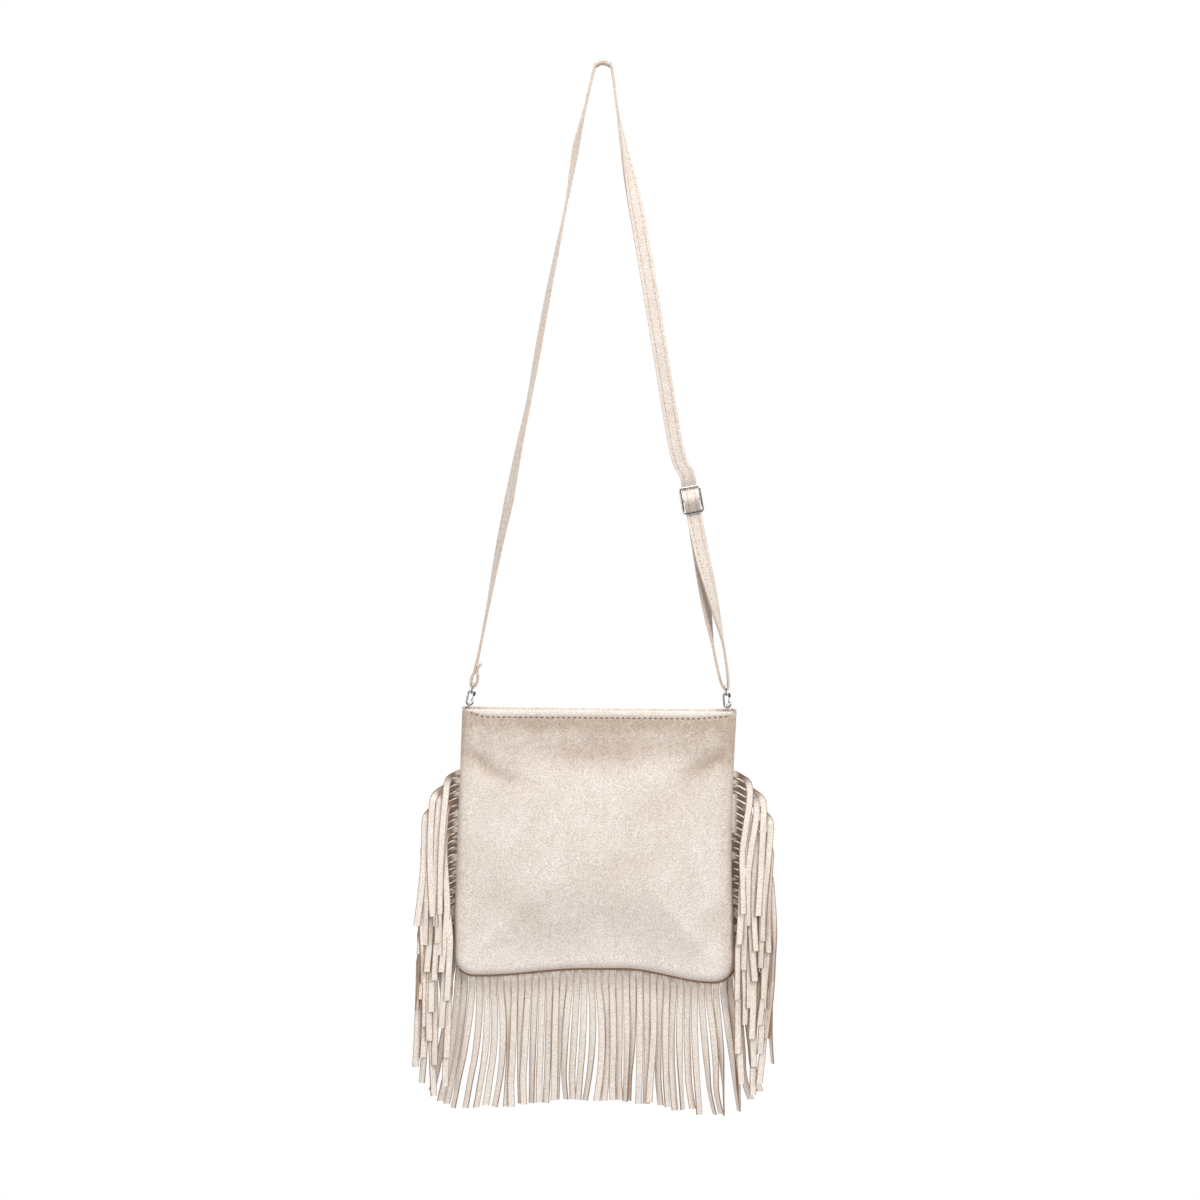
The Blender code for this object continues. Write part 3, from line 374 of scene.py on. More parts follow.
def suede(name, light, dark, nap_bump_and_painted_shade=None, cut=None, turned=None, fuzz=0.30):
    # soft napped leather: faint mottling, fine fibres and a slight sheen
    made, shade, shader = new_material(name)
    place = shade.node("TexCoord", output="Object")
    blotch = shade.grain(place, 26, 3).step(0.34, 0.66)
    brushed = shade.grain(place, 190, 4, (1.0, 1.0, 0.85)).step(0.30, 0.72)
    fibre = shade.grain(place, 760, 3)
    fine = shade.grain(place, 1300, 2)
    tone = blotch * 0.42 + brushed * 0.34 + fibre.step(0.30, 0.70) * 0.24
    # where an attribute is named, its painted shade and painted light darken and lighten the tone
    if nap_bump_and_painted_shade:
        wear_and_painted_shade = shade.node("Attribute", {"attribute_name": nap_bump_and_painted_shade}, output="Fac")
        tone = (tone * 0.36 + wear_and_painted_shade * 0.80 * (0.90 + brushed * 0.18)).limit()
    else:
        tone = tone * 0.46
    colour = tone.between(light, dark)
    speck = fibre.step(0.40, 0.60) * 0.55 + fine.step(0.42, 0.58) * 0.45
    colour = speck.between(colour, (0.70, 0.655, 0.617, 1), "MULTIPLY")
    # near the strips' roots the turned attribute mixes in a painted colour: painted shade on the faces, a
    # painted highlight on the cut edges
    if turned:
        away = shade.node("Attribute", {"attribute_name": "turned"}, output="Fac")
        colour = away.between(colour, turned)
    if cut:
        line = shade.node("Attribute", {"attribute_name": cut}, output="Fac").step(0.0, 0.9)
        colour = (line * 0.95).between(colour, (0.300, 0.178, 0.108, 1))
    bump = shade.node("Bump", None, {"Strength": 0.55, "Distance": 0.00035,
                                     "Height": fibre * 0.7 + fine * 0.3 + brushed * 0.25})
    feed(shader, {"Base Color": colour, "Roughness": 0.90 - fibre * 0.08, "Normal": bump,
                  "Sheen Weight": fuzz, "Sheen Roughness": 0.45, "Sheen Tint": (1.0, 0.96, 0.93, 1),
                  "Specular IOR Level": 0.25})
    return made


PALE = (0.962, 0.900, 0.850, 1)
DUSKY = (0.590, 0.478, 0.395, 1)
# the panel suede darkens and lightens with the painted shade and painted light of its vertices
panel_suede = suede("panel_suede", PALE, DUSKY, nap_bump_and_painted_shade="nap_bump_and_painted_shade")
flesh_side = suede("flesh_side", (0.700, 0.590, 0.505, 1), (0.540, 0.430, 0.345, 1), fuzz=0.15)
cut_edge = suede("cut_edge", (0.470, 0.335, 0.240, 1), (0.330, 0.215, 0.140, 1), fuzz=0.0)


def panel(name, side, rise):
    columns, rows = panel_columns(), panel_rows()

    def place(u, v):
        x, z = outline(u, v)
        corner = ease(0.0060, 0.0020, min(x - TOP_LEFT.x, TOP_RIGHT.x - x))
        corner *= ease(0.030, HEM_GAP, top_z(x) - z)
        lift = rise * (1 - ease(0, 0.3, v)) + CORNER_LIFT * corner
        return Vector((x, surface(side, x, z) + SET_BACK, z + lift))

    bm = grid(columns, rows, place)
    bm.verts.ensure_lookup_table()
    # each vertex keeps its painted shade and painted light as an attribute for the panel's colour
    nap_bump_and_painted_shade = bm.verts.layers.float.new("nap_bump_and_painted_shade")
    for vertex in bm.verts:
        vertex[nap_bump_and_painted_shade] = painted_light_and_shade(side, vertex.co.x, vertex.co.z)
    border, mouth = [], []
    for edge in bm.edges:
        if not edge.is_boundary:
            continue
        places = [divmod(v.index, len(columns)) for v in edge.verts]
        if any(row for row, column in places):
            border.append(edge)
        elif all(4 <= column <= len(columns) - 5 for row, column in places):
            mouth.append(edge)

    def tucked(share):
        def move(start):
            width = mix(MOUTH_ALLOWANCE, ALLOWANCE, ease(0.012, 0.024, top_z(start.x) - start.z))
            away = inward(start.x, start.z) * width * share
            return Vector((start.x, side * SEAM_HALF + SET_BACK, start.z)) + away
        return move

    def hemmed(degrees, down):
        def move(start):
            angle = math.radians(degrees)
            back = HEM_GAP / 2 * (1 - math.cos(angle))
            lift = HEM_GAP / 2 * math.sin(angle)
            return Vector((start.x, start.y - side * back, start.z + lift - down))
        return move

    grow_border(bm, border, [tucked(0.3), tucked(0.65), tucked(1.0)])
    grow_border(bm, mouth, [hemmed(angle, 0) for angle in range(30, 181, 30)] +
                [hemmed(180, HEM_DEPTH * share) for share in (0.33, 0.66, 1.0)])
    bmesh.ops.recalc_face_normals(bm, faces=bm.faces)
    outer = max(bm.faces, key=lambda face: side * face.calc_center_median().y)
    if outer.normal.y * side < 0:
        bmesh.ops.reverse_faces(bm, faces=bm.faces)
    area = sum(face.calc_area() for face in bm.faces)
    piece = place_piece(name, bm, [panel_suede, flesh_side, cut_edge])
    wall(piece, SUEDE_THICKNESS, 1, 2)
    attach(piece, "bag")
    return piece


front = panel("suede_front", -1, 0.0)
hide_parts("front_panel")
back = panel("suede_back", 1, BACK_RISE)
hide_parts("back_panel")

# Fringe
# One long comb of the same suede is sewn into the seam round three sides. It is cut into strips
# 6.7 mm wide. Those of the sides leave the seam sideways, turn over and hang in front of each other.
STRIP_WIDTH = 0.0067
STRIP_PITCH = 0.0070
FRINGE_THICKNESS = 0.0012
FRINGE_INSIDE = 0.005
FRINGE_OUTSIDE = 0.0025
FRINGE_START_Z = -0.703
SIDE_LENGTH = 0.147
BOTTOM_LENGTH = 0.131
BOTTOM_STEPS = (0.005, 0.006)
# down a side the strips take the four lanes in this order, and the rungs to each lane lie this far
# forward at their start and at their end
LANE_ORDER = (0, 2, 1, 3)
LANE_DIPS = ((-0.0010, -0.0042), (-0.0010, -0.0027), (-0.0002, -0.0004), (-0.0002, -0.0004))
LANES = len(LANE_ORDER)
LANE_STEP = 0.0070
FIRST_LANE = 0.0110
ROOT_STEP = 0.0028
CURL_STEP = 0.0044
FIRST_LAYER = 0.0022
LAYER_STEP = 0.0017
RUNG_SLOPE = 36
TURN_STEP = 0.0045
SIDE_START = 0.0070
HANG_Y = -0.0054
LENGTH_SPREAD = 0.03
CORNER_SPREAD = 0.0058
CORNER_BEHIND = 0.0017
SIDE_ROWS = 32
BOTTOM_ROWS = 20
# a strip whose root points less than this many degrees off sideways belongs to a side
SIDE_TURN = 8
# how much painted shade a strip takes at its root, and the shares of its length between which that fades;
# the cut edges there take a painted highlight instead
SIDE_PAINTED_SHADING = (1.0, 0.05, 0.15)
BOTTOM_PAINTED_SHADING = (0.34, 0.0, 0.24)


def heading(degrees):
    # 0 is towards -X, 90 is down and 180 is towards +X
    angle = math.radians(degrees)
    return Vector((-math.cos(angle), 0, -math.sin(angle))), Vector((math.sin(angle), 0, -math.cos(angle)))


def jitter(index, salt):
    return math.sin(index * 12.9898 + salt * 78.233) * 43758.5453 % 1.0 - 0.5


# places across a strip, with a narrow brown cut line along both edges
ACROSS = (-0.5, -0.34, 0.0, 0.34, 0.5)


def comb_marks():
    # along the seam: start, middle and end of each strip, each with its direction out of the bag
    points = SEAM[SEAM[:, 1] < FRINGE_START_Z]
    along = np.concatenate([[0], np.cumsum(np.hypot(*np.diff(points, axis=0).T))])
    count = int((along[-1] - STRIP_WIDTH) / STRIP_PITCH)
    start = (along[-1] - count * STRIP_PITCH - STRIP_WIDTH) / 2

    def at(where):
        return np.array([np.interp(where, along, points[:, 0]), np.interp(where, along, points[:, 1])])

    marks = []
    for index in range(count + 1):
        for end in [(share + 0.5) * STRIP_WIDTH for share in ACROSS]:
            where = start + index * STRIP_PITCH + end
            spot = at(where)
            ahead = at(where + 0.002) - at(where - 0.002)
            ahead = ahead / np.hypot(*ahead)
            marks.append((Vector((spot[0], 0, spot[1])), Vector((ahead[1], 0, -ahead[0]))))
    return marks


def forward(drop):
    turn = STRIP_PITCH * LANES
    return HANG_Y - FIRST_LAYER * min(1, drop / turn) - LAYER_STEP * max(0, drop / turn - 1)


def side_stations(index, order, side, root):
    # places down a side strip, each with its direction across and its roll in degrees
    place = LANE_ORDER[order % LANES]
    lane = FIRST_LANE + place * LANE_STEP
    dip, low = LANE_DIPS[place]
    lean = -LEFT_FLARE / HEIGHT if side < 0 else 0.0
    edge = TOP_LEFT.x + (TOP_LEFT.z - root.z) * lean if side < 0 else TOP_RIGHT.x
    hang_x = edge + side * (FRINGE_OUTSIDE + lane)
    stations = []
    spot = root.copy()

    def go(length, degrees, roll, y):
        ahead, across = heading(degrees if side < 0 else 180 - degrees)
        spot.x += ahead.x * length
        spot.z += ahead.z * length
        spot.y = y
        stations.append((spot.copy(), across, roll))

    go(ROOT_STEP, 10, 24, dip * 0.3)
    go(CURL_STEP, 28, 38, dip)
    reach = TURN_STEP * (math.cos(math.radians(58)) + math.cos(math.radians(80)))
    straight = (abs(hang_x - spot.x) - reach) / math.cos(math.radians(RUNG_SLOPE))
    go(straight, RUNG_SLOPE, 24, low)
    go(TURN_STEP, 58, 0, HANG_Y * 0.92)
    go(TURN_STEP, 80, 0, HANG_Y * 0.98)
    across = heading(90)[1]
    length = SIDE_LENGTH * (1 + LENGTH_SPREAD * jitter(index, 1)) - SIDE_START - straight - 2 * TURN_STEP
    lean_out = 0.0105 * jitter(index, 4) - 0.0012 * side
    bow = 0.0052 * jitter(index, 5)
    twist = 74 * jitter(index, 6) if place < 3 else 90 * (jitter(index, 6) + 0.42)
    # some of the innermost strips cross the ladder of rungs
    across_ladder = 0.0
    if place == 0 and (side > 0 or order > 7):
        across_ladder = -side * (0.0080 if side > 0 else 0.0060)
    elif place == 1 and side > 0:
        across_ladder = -0.0045
    for share in (0.10, 0.30, 0.52, 0.76, 1.0):
        drop = length * share
        x = spot.x + lean * drop + lean_out * share ** 1.4 + bow * math.sin(math.pi * share)
        x += across_ladder * ease(0.05, 0.55, share)
        y = forward(drop) - 0.0006 * math.sin(share * 5 + index)
        stations.append((Vector((x, y, spot.z - drop)), across, twist * ease(0.1, 0.9, share)))
    return stations


def bottom_stations(index, root, turn):
    corner = ease(50, 5, turn) - ease(130, 175, turn)
    hang_x = root.x - CORNER_SPREAD * corner
    behind = CORNER_BEHIND * (index % 2) * ease(82, 60, min(turn, 180 - turn))
    length = BOTTOM_LENGTH * (1 + LENGTH_SPREAD * jitter(index, 3))
    stations = []
    spot = root.copy()
    for share, length_here, shift in ((0.35, BOTTOM_STEPS[0], 0.4), (0.8, BOTTOM_STEPS[1], 0.9)):
        ahead, across = heading(mix(turn, 90, share))
        spot = spot + ahead * length_here
        spot.x = mix(root.x, hang_x, shift)
        stations.append((Vector((spot.x, behind, spot.z)), across, 0))
    across = heading(90)[1]
    # neighbours sway alike, some stray, and by turns they lie before and behind one another
    flow = math.sin(root.x * 52 + 1.1) + 0.6 * math.sin(root.x * 118 + 2.2)
    stray = jitter(index, 7)
    layer = 0.0013 * (1 if index % 2 else -1)
    loose = ease(0.050, 0.085, root.x) + 0.8 * ease(-0.095, -0.125, root.x)
    twist = 44 * jitter(index, 8) + (34 if jitter(index, 9) > 0.30 else 0)
    twist += math.copysign(52, jitter(index, 13)) * loose
    hook = 0.011 * (1 if root.x > 0.085 else 0.35) * max(0.0, jitter(index, 10) + 0.12)
    bow = 0.0032 * jitter(index, 12)
    # towards both corners the strips fan out
    fan = 0.013 * (ease(0.045, 0.110, root.x) - ease(-0.085, -0.135, root.x))
    for share in (0.2, 0.4, 0.6, 0.8, 0.92, 1.0):
        drop = (length - sum(BOTTOM_STEPS)) * share
        x = hang_x + (0.0026 * flow + bow) * math.sin(math.pi * share * 0.9) - 0.0034 * share ** 2.4
        x += 0.0072 * stray * share ** 1.6 + fan * share ** 1.5 + hook * ease(0.82, 1.0, share)
        y = behind + layer * ease(0.05, 0.35, share) - 0.0012 * flow * share
        y -= 0.6 * hook * ease(0.85, 1, share)
        z = spot.z - drop + hook * 0.5 * ease(0.9, 1.0, share)
        stations.append((Vector((x, y, z)), across, twist * ease(0.15, 0.9, share)))
    return stations


def soft_curve(values, rows):
    # smooth run through the values, in the given number of even steps
    values = np.array(values, dtype=float)
    gaps = np.sqrt((np.diff(values[:, :3], axis=0) ** 2).sum(axis=1))
    along = np.concatenate([[0], np.cumsum(gaps)])
    slopes = np.gradient(values, along, axis=0)
    made = []
    for where in np.linspace(0, along[-1], rows):
        part = min(int(np.searchsorted(along, where, side="right")) - 1, len(gaps) - 1)
        span = along[part + 1] - along[part]
        t = (where - along[part]) / span
        spot = (2 * t ** 3 - 3 * t ** 2 + 1) * values[part] + (3 * t ** 2 - 2 * t ** 3) * values[part + 1]
        bend = (t ** 3 - 2 * t ** 2 + t) * slopes[part] + (t ** 3 - t ** 2) * slopes[part + 1]
        made.append(spot + bend * span)
    return made


def lay_strip(bm, marks, stations, sign, rows, turned):
    # the strip starts on the comb's own edge and follows its stations, with painted shade near its root
    # until it has turned over
    made = bmesh.ops.create_grid(bm, x_segments=len(ACROSS) - 1, y_segments=rows, size=0.5)["verts"]
    first, middle, second = marks[0], marks[len(marks) // 2], marks[-1]
    cut, dark = bm.verts.layers.float["cut"], bm.verts.layers.float["turned"]
    start = (second - first).normalized()
    values = [(*middle, *start, 0.0)] + [(*spot, *across, roll) for spot, across, roll in stations]
    run = soft_curve(values, rows + 1)
    for number, vertex in enumerate(made):
        row, column = divmod(number, len(ACROSS))
        share = ACROSS[column]
        vertex[cut] = 1.0 if abs(share) == 0.5 else 0.0
        # painted shade near the root, fading out along the strip
        vertex[dark] = turned[0] * (1 - ease(turned[1], turned[2], row / rows))
        if row == 0:
            vertex.co = marks[column]
            continue
        spot, across, roll = Vector(run[row][:3]), Vector(run[row][3:6]).normalized(), run[row][6]
        angle = math.radians(roll) * sign
        out = STRIP_WIDTH * share
        cup = -0.00035 * (1 - abs(2 * share)) * ease(0.2, 0.6, row / rows)
        tipped = across * math.cos(angle) + Vector((0, math.sin(angle), 0))
        through = Vector((0, math.cos(angle), 0)) - across * math.sin(angle)
        vertex.co = spot + tipped * out + through * cup


def fringe_comb():
    marks = comb_marks()
    inner = [spot - out * FRINGE_INSIDE for spot, out in marks]
    outer = [spot + out * FRINGE_OUTSIDE for spot, out in marks]
    bm = grid(range(len(marks)), (0, 1), lambda column, row: (inner, outer)[row][column])
    bm.verts.layers.float.new("cut")
    # the turned layer holds the painted shade of the strips' roots
    bm.verts.layers.float.new("turned")
    count = len(marks) // len(ACROSS)
    for index in range(count):
        root = outer[len(ACROSS) * index:len(ACROSS) * (index + 1)]
        middle, out = root[2], marks[len(ACROSS) * index + 2][1]
        turn = (math.degrees(math.atan2(-out.z, -out.x)) + 90) % 360 - 90
        if turn < SIDE_TURN:
            lay_strip(bm, root, side_stations(index, index, -1, middle), 1, SIDE_ROWS, SIDE_PAINTED_SHADING)
        elif turn > 180 - SIDE_TURN:
            stations = side_stations(index, count - 1 - index, 1, middle)
            lay_strip(bm, root, stations, -1, SIDE_ROWS, SIDE_PAINTED_SHADING)
        else:
            lay_strip(bm, root, bottom_stations(index, middle, turn), -1, BOTTOM_ROWS, BOTTOM_PAINTED_SHADING)
    bmesh.ops.remove_doubles(bm, verts=bm.verts, dist=0.00001)
    bmesh.ops.translate(bm, verts=bm.verts, vec=(0, SET_BACK, 0))
    bmesh.ops.recalc_face_normals(bm, faces=bm.faces)
    if sum(face.normal.y * face.calc_area() for face in bm.faces) > 0:
        bmesh.ops.reverse_faces(bm, faces=bm.faces)
    return bm


# the turned colours are painted shade on the strip faces near their roots and a painted highlight on their
# cut edges there
strip_suede = suede("strip_suede", (1.0, 0.936, 0.876, 1), (0.860, 0.740, 0.650, 1), cut="cut",
                    turned=(0.235, 0.165, 0.118, 1))
strip_back = suede("strip_back", (0.740, 0.640, 0.560, 1), (0.560, 0.455, 0.375, 1), fuzz=0.15)
strip_edge = suede("strip_edge", (0.430, 0.285, 0.190, 1), (0.300, 0.190, 0.120, 1), fuzz=0.0,
                   turned=(0.900, 0.830, 0.780, 1))
bm = fringe_comb()
fringe_area = sum(face.calc_area() for face in bm.faces)
fringe = place_piece("fringe_comb", bm, [strip_suede, strip_back, strip_edge])
wall(fringe, FRINGE_THICKNESS, 1, 2)
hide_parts("fringe")
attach(fringe, "bag")

# Seam shadow
# A thin brown wire lies between the rolled seam and the fringe along the bottom and round both
# lower corners, a painted shadow in the seam crease.
SEAM_SHADOW_RADIUS = 0.0012
SEAM_SHADOW_OUT = 0.0012
SEAM_SHADOW_Y = 0.0016
SEAM_SHADOW_TOP = -0.9035


def wire(bm, points, radius, closed=False, resolution=3):
    # adds a round wire along the points
    curve = bpy.data.curves.new("wire", "CURVE")
    curve.dimensions = "3D"
    curve.bevel_depth = radius
    curve.bevel_resolution = resolution
    curve.use_fill_caps = not closed
    spline = curve.splines.new("POLY")
    spline.points.add(len(points) - 1)
    for point, spot in zip(spline.points, points):
        point.co = (*spot, 1)
    spline.use_cyclic_u = closed
    holder = bpy.data.objects.new("wire", curve)
    scene.collection.objects.link(holder)
    mesh = bpy.data.meshes.new_from_object(holder.evaluated_get(bpy.context.evaluated_depsgraph_get()))
    bm.from_mesh(mesh)
    bpy.data.objects.remove(holder)
    bpy.data.curves.remove(curve)
    bpy.data.meshes.remove(mesh)


# the wire's brown is a painted shadow in the seam crease
seam_shadow_brown = suede("seam_shadow_brown", (0.430, 0.258, 0.150, 1), (0.290, 0.168, 0.094, 1), fuzz=0.0)
for word, side in (("front", -1), ("back", 1)):
    points = []
    for x, z in SEAM[SEAM[:, 1] < SEAM_SHADOW_TOP]:
        away = inward(x, z)
        out = SEAM_SHADOW_OUT + 0.00012 * math.sin(x * 700) + 0.0001 * math.sin(x * 310 + side)
        points.append((x - away.x * out, side * SEAM_SHADOW_Y + SET_BACK, z - away.z * out))
    bm = bmesh.new()
    wire(bm, points, SEAM_SHADOW_RADIUS)
    bmesh.ops.remove_doubles(bm, verts=bm.verts, dist=0.000005)
    bmesh.ops.recalc_face_normals(bm, faces=bm.faces)
    seam_shadow_wire = place_piece("seam_shadow_" + word, bm, [seam_shadow_brown])
    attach(seam_shadow_wire, "bag")

# Lining
# A thin beige cloth bag lies inside the suede one. It is open at the top, where its edge is caught
# under the zip tapes, and it is closed along the sides and the bottom.
LINING_THICKNESS = 0.0005
LINING_INSET = 0.0072
LINING_TOP = 0.0125
LINING_GAP = 0.0010


def lining_place(side):
    def at(u, v):
        x, z = outline(u, v)
        x += (LINING_INSET if u < 0 else -LINING_INSET) * abs(u) ** 3
        z += LINING_INSET * v ** 8
        edge = min(seam_distance(x, z) - LINING_INSET, z - bottom_z(x) - LINING_INSET)
        if abs(u) == 1 or v == 1:
            return Vector((x, SET_BACK, z))
        full = half_depth(x, z) - max(0.0, folds(side, x, z))
        full -= SUEDE_THICKNESS + LINING_THICKNESS + LINING_GAP
        full += 0.0003 * math.sin(x * 210 + side) * math.sin(z * 90)
        full = mix(0.0040, full, ease(LINING_TOP, 0.030, top_z(x) - z))
        swell = math.sqrt(1 - (1 - min(1.0, max(edge, 0) / 0.006)) ** 2)
        return Vector((x, side * max(0.0007, full * swell) + SET_BACK, z))
    return at


def cloth(name, light, dark, scale):
    # plain weave of fine threads
    made, shade, shader = new_material(name)
    place = shade.node("TexCoord", output="Object")
    waves = {"Vector": place, "Scale": scale, "Distortion": 0.6}
    weft = shade.node("TexWave", {"bands_direction": "Z"}, waves)
    warp = shade.node("TexWave", {"bands_direction": "X"}, waves)
    weave = weft * warp
    slub = shade.grain(place, 240, 3).step(0.3, 0.7)
    bump = shade.node("Bump", None, {"Strength": 0.5, "Distance": 0.0002, "Height": weave})
    feed(shader, {"Base Color": (weave * 0.6 + slub * 0.4).between(dark, light), "Normal": bump,
                  "Roughness": 0.88, "Specular IOR Level": 0.3})
    return made


lining_cloth = cloth("lining_cloth", (0.76, 0.67, 0.58, 1), (0.62, 0.52, 0.43, 1), 420)
near = [0, 0.0008, 0.002, 0.004, 0.006, 0.010] + list(np.arange(0.016, HALF_WIDTH - 0.002, 0.008))
left = [-1 + d / HALF_WIDTH for d in near]
columns = left + [-u for u in reversed(left)]
drops = list(np.arange(LINING_TOP, HEIGHT - 0.024, 0.006))
closing = [HEIGHT - up for up in (0.020, 0.016, 0.012, 0.009, 0.006, 0.004, 0.002, 0)]
rows = [d / HEIGHT for d in drops + closing]
bm = grid(columns, rows, lining_place(-1))
other = grid(columns, rows, lining_place(1))
other_mesh = bpy.data.meshes.new("lining_back")
other.to_mesh(other_mesh)
other.free()
bm.from_mesh(other_mesh)
bpy.data.meshes.remove(other_mesh)
bmesh.ops.remove_doubles(bm, verts=bm.verts, dist=0.00005)
bmesh.ops.recalc_face_normals(bm, faces=bm.faces)
lining_area = sum(face.calc_area() for face in bm.faces)
lining = place_piece("lining_bag", bm, [lining_cloth])
wall(lining, LINING_THICKNESS)
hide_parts("lining")
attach(lining, "bag")

# Zip
# The mouth closes with a beige coil zip: two woven tapes, two spiral rows that mesh, metal stops at
# both ends, and a nickel slider with a wire-hung pull that lies along the closed rows.
ZIP_Z = -0.6520
ZIP_LEFT = -0.1235
ZIP_RIGHT = 0.1130
COIL_RADIUS = 0.00075
COIL_Y = 0.00165
COIL_STEP = 0.0012
COIL_END = 0.0035
COIL_THREAD = 0.00024
COIL_SIDES = 8
TAPE_THICKNESS = 0.0005
STOP_END = 0.0015
STOP_SIZE = (0.0020, 0.0046, 0.0016)
SLIDER_X = 0.1030
SLIDER_LENGTH = 0.0085
SLIDER_WIDTH = 0.0072
SLIDER_PLATE = 0.0007
SLIDER_GAP = 0.00035
WEDGE_SHIFT = 0.0022
WEDGE_LENGTH = 0.0030
ARCH_RADIUS = 0.0022
ARCH_WIRE = 0.00045
PULL_LENGTH = 0.0140
PULL_WIDTH = 0.0036
LOOP_WIRE = 0.00035
LOOP_LONG = 0.0060
LOOP_HALF = 0.0019
LOOP_LAP = 0.0004
tape_cloth = cloth("tape_cloth", (0.78, 0.69, 0.60, 1), (0.60, 0.50, 0.41, 1), 900)

coil_nylon, shade, shader = new_material("coil_nylon")
place = shade.node("TexCoord", output="Object")
wear_and_painted_shade = shade.grain(place, 300, 2).step(0.35, 0.65)
feed(shader, {"Base Color": wear_and_painted_shade.between((0.74, 0.65, 0.56, 1), (0.66, 0.56, 0.47, 1)),
              "Roughness": 0.38 + wear_and_painted_shade * 0.15})

nickel, shade, shader = new_material("nickel")
place = shade.node("TexCoord", output="Object")
rubbed = shade.grain(place, 420, 3).step(0.35, 0.68)
streak = shade.grain(place, 900, 2, (1.0, 1.0, 0.25))
nickel_bump = shade.node("Bump", None, {"Strength": 0.10, "Distance": 0.0001, "Height": streak})
feed(shader, {"Base Color": rubbed.between((0.80, 0.785, 0.755, 1), (0.62, 0.600, 0.565, 1)),
              "Metallic": 1.0, "Roughness": 0.16 + rubbed * 0.12, "Normal": nickel_bump})


def turned(bm, profile, centre, axis, steps=28):
    # adds a piece turned on a lathe, from radius and height pairs that start and end on the axis
    side = axis.orthogonal().normalized()
    run = [bmesh.ops.create_vert(bm, co=centre + axis * h + side * r)["vert"][0] for r, h in profile]
    edges = [bm.edges.new(pair) for pair in zip(run, run[1:])]
    bmesh.ops.spin(bm, geom=run + edges, cent=centre, axis=axis, angle=2 * math.pi, steps=steps,
                   use_merge=True)


def plate(bm, centre, axes, size, bevel, segments=2):
    # adds a block with rounded edges
    made = bmesh.ops.create_cube(bm, size=1)["verts"]
    for vertex in made:
        vertex.co = Vector(c * s for c, s in zip(vertex.co, size))
    edges = list({edge for vertex in made for edge in vertex.link_edges})
    out = bmesh.ops.bevel(bm, geom=edges, offset=bevel, segments=segments, affect="EDGES", profile=0.5,
                          material=-1)
    made = {v for v in made if v.is_valid} | {v for face in out["faces"] for v in face.verts}
    for vertex in made:
        local = vertex.co.copy()
        vertex.co = centre + axes[0] * local[0] + axes[1] * local[1] + axes[2] * local[2]


def metal_piece(name, bm, node, body, finish=nickel, shift=0.0):
    bmesh.ops.remove_doubles(bm, verts=bm.verts, dist=0.000005)
    bmesh.ops.recalc_face_normals(bm, faces=bm.faces)
    bmesh.ops.translate(bm, verts=bm.verts, vec=(0, shift, 0))
    piece = place_piece(name, bm, [finish])
    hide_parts(node)
    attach(piece, body)
    return piece


X, Y, Z = Vector((1, 0, 0)), Vector((0, 1, 0)), Vector((0, 0, 1))
for word, side in (("front", -1), ("back", 1)):
    profile = [(COIL_Y + COIL_RADIUS + 0.0003, 0), (0.0034, 0), (0.0040, 0), (0.0044, -0.0002),
               (0.0046, -0.0006), (0.0046, -0.0020), (0.0046, -0.0032), (0.0046, -0.0045)]

    def tape_place(share, row):
        y, z = profile[row]
        y += 0.0001 * math.sin(share * 90 + side) * min(1, row)
        return Vector((mix(ZIP_LEFT, ZIP_RIGHT, share), side * y + SET_BACK, ZIP_Z + z))

    bm = grid(np.linspace(0, 1, 90), range(len(profile)), tape_place)
    bmesh.ops.recalc_face_normals(bm, faces=bm.faces)
    tape = place_piece("zip_tape_" + word, bm, [tape_cloth])
    wall(tape, TAPE_THICKNESS)
    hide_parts("tape_" + word)
    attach(tape, "bag")

    # the coil is one thread wound round and round, slightly flattened
    turns = int((ZIP_RIGHT - ZIP_LEFT - 2 * COIL_END) / COIL_STEP)
    points = []
    for step in range(turns * COIL_SIDES + 1):
        angle = 2 * math.pi * step / COIL_SIDES + (math.pi if side > 0 else 0)
        x = ZIP_LEFT + COIL_END + COIL_STEP * step / COIL_SIDES
        y = side * COIL_Y + SET_BACK + 0.00056 * math.cos(angle)
        points.append((x, y, ZIP_Z + 0.00052 * math.sin(angle)))
    bm = bmesh.new()
    wire(bm, points, COIL_THREAD, resolution=1)
    metal_piece("zip_coil_" + word, bm, "coil_" + word, "bag", coil_nylon)

for word, x in (("left", ZIP_LEFT + STOP_END), ("right", ZIP_RIGHT - STOP_END)):
    bm = bmesh.new()
    plate(bm, Vector((x, 0, ZIP_Z)), (X, Y, Z), STOP_SIZE, 0.0004, 3)
    metal_piece("zip_stop_" + word, bm, "stop_" + word, "bag", shift=SET_BACK)

# the slider: an upper and a lower plate, the wedge between them and the arch that holds the pull
bm = bmesh.new()
slider_middle = Vector((SLIDER_X, 0, ZIP_Z))
slider_lift = COIL_RADIUS + SLIDER_GAP + SLIDER_PLATE / 2
slider_plate = (SLIDER_LENGTH, SLIDER_WIDTH, SLIDER_PLATE)
for sign in (-1, 1):
    plate(bm, slider_middle + Z * sign * slider_lift, (X, Y, Z), slider_plate, 0.00025)
wedge = (WEDGE_LENGTH, 2 * (COIL_Y - COIL_RADIUS - 0.0004), slider_lift * 2)
plate(bm, slider_middle + X * WEDGE_SHIFT, (X, Y, Z), wedge, 0.0002)
arch = [slider_middle + Vector((ARCH_RADIUS * math.cos(a), 0, slider_lift + ARCH_RADIUS * math.sin(a)))
        for a in np.linspace(0, math.pi, 13)]
wire(bm, arch, ARCH_WIRE)
metal_piece("zip_slider_body", bm, "zip_slider", "zip_slider", shift=SET_BACK)

